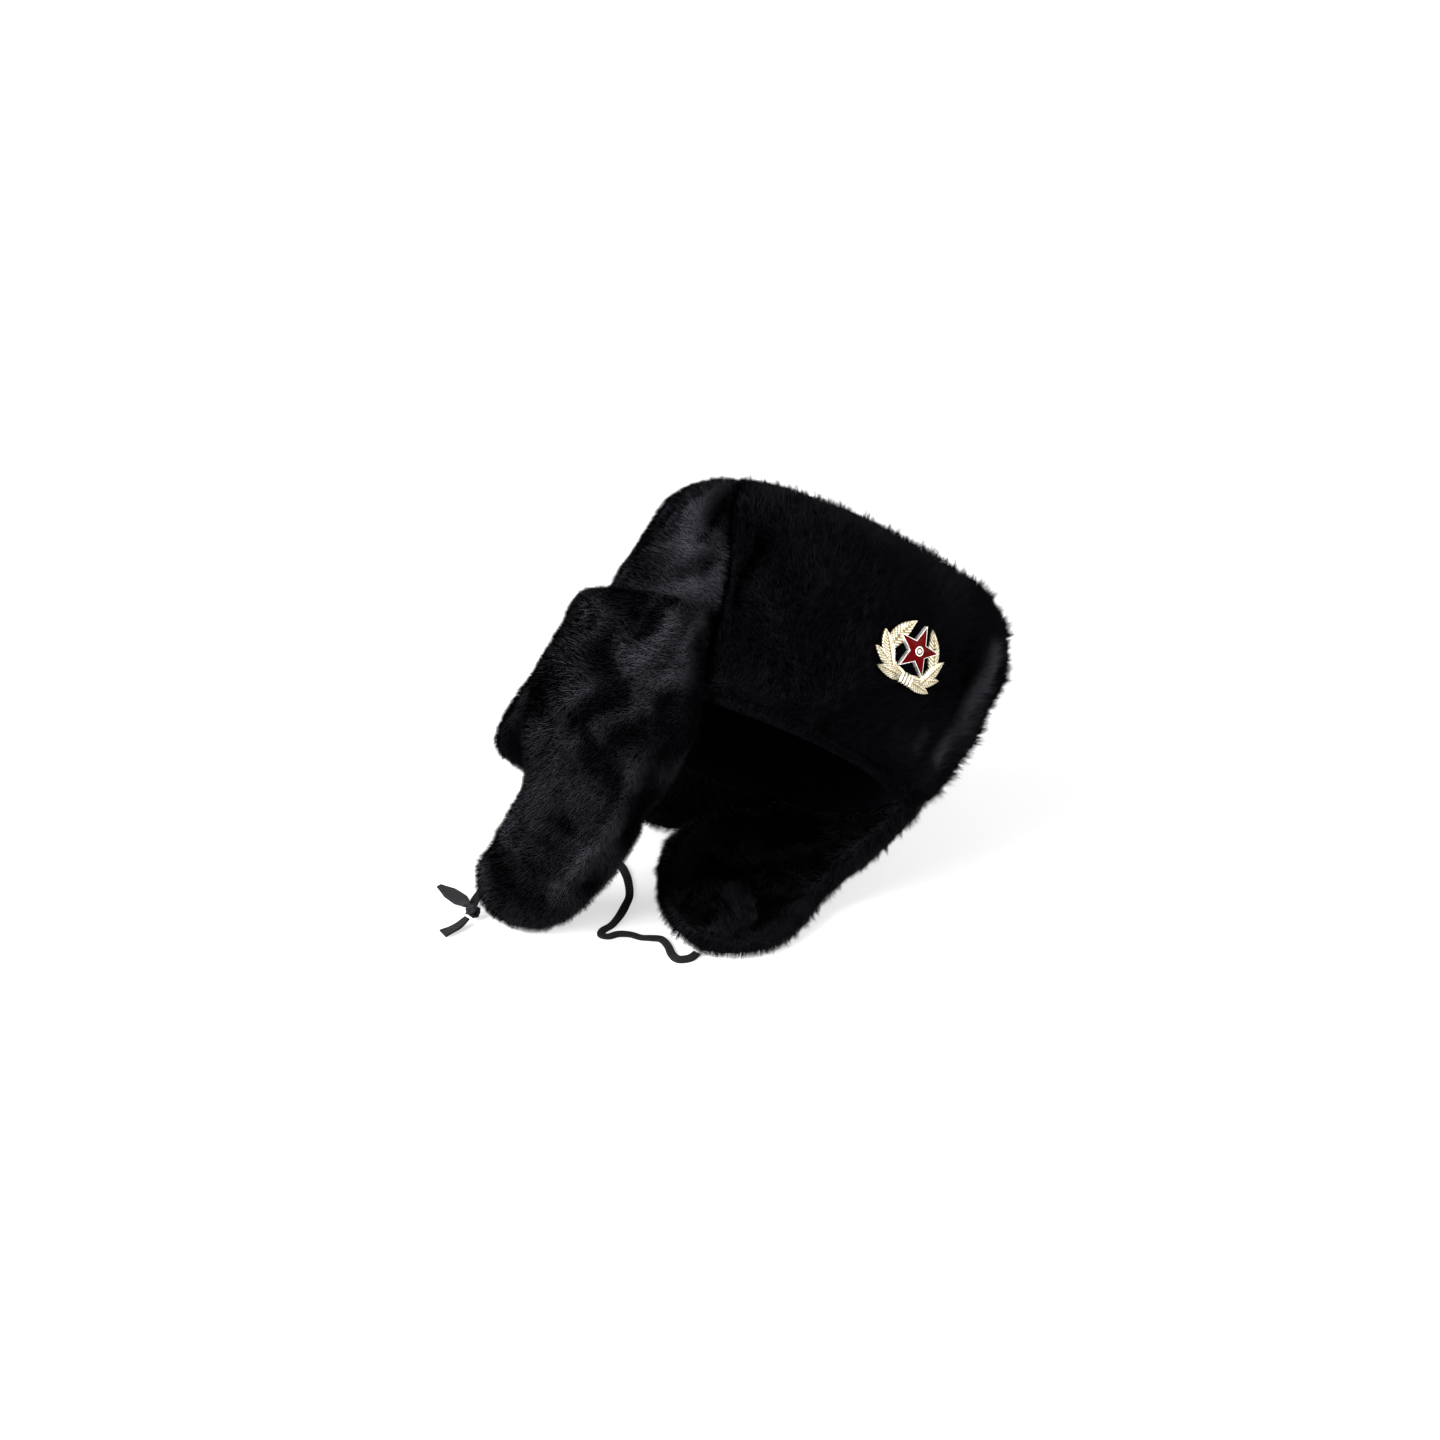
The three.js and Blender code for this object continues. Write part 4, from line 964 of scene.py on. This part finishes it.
def grow_pile(node, skin, look, tree, area):
    """The strands of a piece as one plain mesh, with normals that follow the nap."""
    count = look["strands"] / 1
    values = {
        "Density": count / area / MM**2,
        "Seed": look["seed"],
        "Width": STRAND["width"] * MM * 1 / 2,
        "Tuft Size": TUFT["size"] * MM,
        "Tuft Pull": TUFT["pull"] * MM,
        "Tuft Rise": look["tufted"],
        "Stray": TUFT["stray"] * MM,
    }
    growth = skin.modifiers.new("pile", "NODES")
    growth.node_group = tree
    for socket in tree.interface.items_tree:
        if socket.in_out == "INPUT" and socket.name in values:
            growth[socket.identifier] = values[socket.name]
    graph = bpy.context.evaluated_depsgraph_get()
    mesh = bpy.data.meshes.new_from_object(skin.evaluated_get(graph))
    skin.modifiers.remove(growth)
    mesh.name = node + "_pile"

    points, _ = mesh_arrays(mesh)
    points[:, 2] = np.maximum(points[:, 2], LEAST_HEIGHT)
    set_places(mesh, points)
    shade = np.empty(len(mesh.vertices) * 3, np.float32)
    mesh.attributes["shade"].data.foreach_get("vector", shade)
    random = np.random.default_rng(look["seed"])
    stray = np.repeat(random.normal(0, SHADE["stray"], (len(mesh.polygons), 3)), 3, axis=0)
    for name in [a.name for a in mesh.attributes if a.name in ("shade", "strand", "sown", "furred")]:
        mesh.attributes.remove(mesh.attributes[name])
    mesh.polygons.foreach_set("use_smooth", np.ones(len(mesh.polygons), bool))
    mesh.normals_split_custom_set_from_vertices(unit(shade.reshape(-1, 3) + stray))
    return add_object(mesh.name, mesh, FUR)


def make_fur():
    even = {node: even_mesh(node) for node in PILE}
    close = {node: surface_tree(even[other]) for node, other in JOINS.items()}
    skins = {node: make_skin(node, even[node], close.get(node)) for node in PILE}
    closed = {node: surface_tree(skin.data) for node, (skin, _) in skins.items()}
    tree = pile_tree()
    for node, look in PILE.items():
        skin, measured = skins[node]
        others = [closed[other] for other in PILE if other != node]
        area = prepare_pile(skin.data, measured, look, PAINTED_LIGHT_PATCHES.get(node, ()), others)
        pile = grow_pile(node, skin, look, tree, area)
        for name in ("strand", "shade", "sown"):
            skin.data.attributes.remove(skin.data.attributes[name])
        belongs(skin, "fur", node)
        belongs(pile, "fur")


# Badge.

# The star's radius, the badge's place from the middle line and above the rim, the radius that it is
# bent to, and how far it stands off the head: the gap, the front flap's thickness and its seat.
BADGE = {"star": 12.6, "aside": -3.1, "height": 55.5, "bend": 80, "stand": 0.7 + 14 + 1.3}
BADGE_PLACE = (
    HAT
    @ Matrix.Translation((BADGE["aside"], -(HEAD_FRONT + BADGE["stand"]), BADGE["height"]))
    @ Matrix.Rotation(math.pi / 2, 4, "X")
)
# Leaves of one side of the wreath, in the badge's own plane; the other side mirrors them.
LEAVES = [
    {"base": (2.5, -13.8), "tip": (16.4, -14.0), "width": 5.8, "bow": 0.0, "lift": 0.0},
    {"base": (6.5, -12.6), "tip": (20.1, -6.0), "width": 5.8, "bow": 0.0, "lift": 0.25},
    {"base": (11.0, -9.5), "tip": (18.7, 2.7), "width": 6.2, "bow": 0.0, "lift": 0.5},
    {"base": (13.6, -3.0), "tip": (5.0, 13.0), "width": 7.4, "bow": -0.9, "lift": 0.1},
    {"base": (9.0, -12.0), "tip": (13.6, 0.5), "width": 5.2, "bow": -1.6, "lift": 0.45},
    {"base": (2.0, -12.4), "tip": (10.6, -9.4), "width": 4.0, "bow": -0.8, "lift": 0.5},
]
# Every leaf: how thick it is, its midrib and veins, how blunt and round its outline is, how far its
# midrib falls towards the tip, and how dark the midrib is.
LEAF = {
    "steps": 72, "edge": 0.7, "ridge": 0.8, "vein": 0.3, "veins": 10, "slant": 2.0,
    "least": 0.03, "blunt": 0.12, "round": 0.8, "fall": 0.4, "midrib": 0.1, "midrib_hollow": 0.9,
}
LEAF_ACROSS = (-1, -1, -0.82, -0.62, -0.42, -0.22, -0.06, 0.06, 0.22, 0.42, 0.62, 0.82, 1, 1)
# Ribs of the ribbon at the wreath's foot: their places, half width and height, and then how full each
# of their rows is, from the lowest up.
RIBBON = {"at": (-2.85, -0.95, 0.95, 2.85), "half": 0.82, "low": 0.5, "rise": 2.0, "steps": 15}
RIBBON_ROWS = ((-16.7, 0.3), (-16.3, 0.9), (-13.6, 1.05), (-11.2, 0.9), (-10.8, 0.3))
STAR_WAIST = 0.4
# Rings of the star: share of its radius and height, from its foot over its rim into its pocket.
STAR_RIM = ((1, 0.6), (0.99, 2.95), (0.98, 3.1), (0.945, 3.1), (0.935, 3.0), (0.93, 2.3))
STAR_ENAMEL = (
    (0.915, 2.35, STAR_WAIST), (0.915, 2.95, STAR_WAIST), (0.89, 3.12, STAR_WAIST), (0.30, 3.75, 0.62),
)
# Round boss in its ring: radius and height, from its foot to its top.
BOSS = (
    (2.3, 1.4), (2.3, 3.8), (2.15, 4.0), (1.8, 4.0), (1.7, 3.65),
    (1.0, 3.65), (0.95, 4.0), (0.6, 4.2), (0.2, 4.25),
)


def badge_mesh(name, parts, smooth=False):
    """The flat badge bent back round an upright axis and set on the hat."""
    points, faces = parts
    bent = [BADGE_PLACE @ Vector((x, y, z - x * x / (2 * BADGE["bend"]))) for x, y, z, _ in points]
    mesh = mesh_of(name, bent, faces, smooth)
    add_numbers(mesh, "hollow", np.array([point[3] for point in points]))
    return mesh


def close_rings(rings, parts):
    """Adds rings of points as one solid, with a fan at each end."""
    points, faces = parts
    start = len(points)
    count = len(rings[0])
    for ring in rings:
        points.extend(ring)
    for row in range(len(rings) - 1):
        for k in range(count):
            n = (k + 1) % count
            a = start + row * count
            faces.append((a + k, a + n, a + count + n, a + count + k))
    for row, turned in ((0, True), (len(rings) - 1, False)):
        ring = [start + row * count + k for k in range(count)]
        points.append(tuple(np.mean([points[i] for i in ring], axis=0)))
        middle = len(points) - 1
        for k in range(count):
            n = (k + 1) % count
            faces.append((middle, ring[n], ring[k]) if turned else (middle, ring[k], ring[n]))


def leaf_rings(leaf, side):
    """A leaf with a midrib and slanting veins, from its base to its tip."""
    base = np.array([leaf["base"][0] * side, leaf["base"][1]])
    tip = np.array([leaf["tip"][0] * side, leaf["tip"][1]])
    run = tip - base
    aside = np.array([run[1], -run[0]]) / np.linalg.norm(run)
    rings = []
    for along in np.linspace(0, 1, LEAF["steps"] + 1):
        centre = base + run * along - aside * side * leaf["bow"] * 4 * along * (1 - along)
        swell = (LEAF["blunt"] + (1 - LEAF["blunt"]) * along) ** LEAF["round"]
        wide = leaf["width"] / 2 * max(LEAF["least"], math.sin(math.pi * swell) ** LEAF["round"])
        ring = []
        for k, share in enumerate(LEAF_ACROSS):
            rise, hollow = 0.0, 1.0
            if 0 < k < len(LEAF_ACROSS) - 1:
                ridge = LEAF["ridge"] * (1 - abs(share)) ** LEAF["round"] * (1 - LEAF["fall"] * along)
                wave = math.cos(2 * math.pi * (along * LEAF["veins"] - abs(share) * LEAF["slant"]))
                vein = LEAF["vein"] * wave * min(1, 5 * abs(share)) * (1 - abs(share)) ** 0.25
                rise = LEAF["edge"] + leaf["lift"] + ridge + vein
                hollow = 0.5 - 0.5 * wave if abs(share) > LEAF["midrib"] else LEAF["midrib_hollow"]
            spot = centre + aside * share * wide
            ring.append((spot[0], spot[1], rise, hollow))
        rings.append(ring if side < 0 else ring[::-1])
    return rings


def star_ring(radius, height, waist=STAR_WAIST, between=4):
    """Outline of a five-pointed star, with points between its corners."""
    corners = []
    for i in range(10):
        reach = radius if i % 2 == 0 else radius * waist
        turn = math.radians(90 + 36 * i)
        corners.append(np.array([reach * math.cos(turn), reach * math.sin(turn)]))
    ring = []
    for i in range(10):
        for k in range(between):
            spot = corners[i] + (corners[(i + 1) % 10] - corners[i]) * k / between
            ring.append((spot[0], spot[1], height, 0.0))
    return ring


def disc_ring(radius, height, sides=40):
    turns = [2 * math.pi * k / sides for k in range(sides)]
    return [(radius * math.cos(turn), radius * math.sin(turn), height, 0.0) for turn in turns]


def make_badge():
    leaves = ([], [])
    for leaf in LEAVES:
        for side in (1, -1):
            close_rings(leaf_rings(leaf, side), leaves)
    arc = [math.pi * k / RIBBON["steps"] for k in range(RIBBON["steps"], -1, -1)]
    for x in RIBBON["at"]:
        rows = []
        for y, grow in RIBBON_ROWS:
            out = [RIBBON["half"] * math.cos(turn) * grow for turn in arc]
            up = [(RIBBON["low"] + RIBBON["rise"] * math.sin(turn)) * grow for turn in arc]
            deep = [1 - math.sin(turn) for turn in arc]
            rows.append([(x + a, y, b, c) for a, b, c in zip(out, up, deep)])
        close_rings(rows, leaves)
    close_rings([disc_ring(*row) for row in BOSS], leaves)
    wreath = add_object("badge_leaves", badge_mesh("badge_leaves", leaves, True), GILT)

    size = BADGE["star"]
    rim = ([], [])
    close_rings([star_ring(size * share, height) for share, height in STAR_RIM], rim)
    star = add_object("badge_star", badge_mesh("badge_star", rim), SILVER)

    field = ([], [])
    close_rings([star_ring(size * share, height, waist) for share, height, waist in STAR_ENAMEL], field)
    enamel = add_object("badge_star_enamel", badge_mesh("badge_star_enamel", field), ENAMEL)

    belongs(wreath, "badge_metal", "badge_wreath")
    belongs(star, "badge_metal")
    belongs(enamel, "badge_enamel", "badge_enamel")


# Floor and light.

WORLD_STRENGTH = 0.6
# In metres: half the floor's width, and the lamps, which aim at the middle of the hat.
FLOOR_HALF = 6
LAMP_AIM = (0, 0, 0.1)
LAMPS = [
    {"name": "key", "place": (-1.55, 0.45, 1.0), "size": 1.6, "power": 165},
    {"name": "side_fill", "place": (1.3, -1.2, 0.9), "size": 1.5, "power": 30},
]


def make_stage():
    reach = FLOOR_HALF / MM
    corners = [(-reach, -reach, 0), (reach, -reach, 0), (reach, reach, 0), (-reach, reach, 0)]
    add_object("floor", mesh_of("floor", corners, [(0, 1, 2, 3)], False), floor_finish())

    world = bpy.data.worlds.new("studio")
    world.use_nodes = True
    world.node_tree.nodes["Background"].inputs["Color"].default_value = (1.0, 1.0, 1.0, 1)
    world.node_tree.nodes["Background"].inputs["Strength"].default_value = WORLD_STRENGTH
    bpy.context.scene.world = world
    bpy.context.scene.view_settings.view_transform = "Standard"

    for lamp in LAMPS:
        light = bpy.data.lights.new(lamp["name"], "AREA")
        light.size = lamp["size"]
        light.energy = lamp["power"]
        source = bpy.data.objects.new(lamp["name"], light)
        source.location = lamp["place"]
        aim = Vector(LAMP_AIM) - source.location
        source.rotation_euler = aim.to_track_quat("-Z", "Y").to_euler()
        bpy.context.scene.collection.objects.link(source)


make_camera()
make_tie()
make_stage()
make_fur()
make_badge()
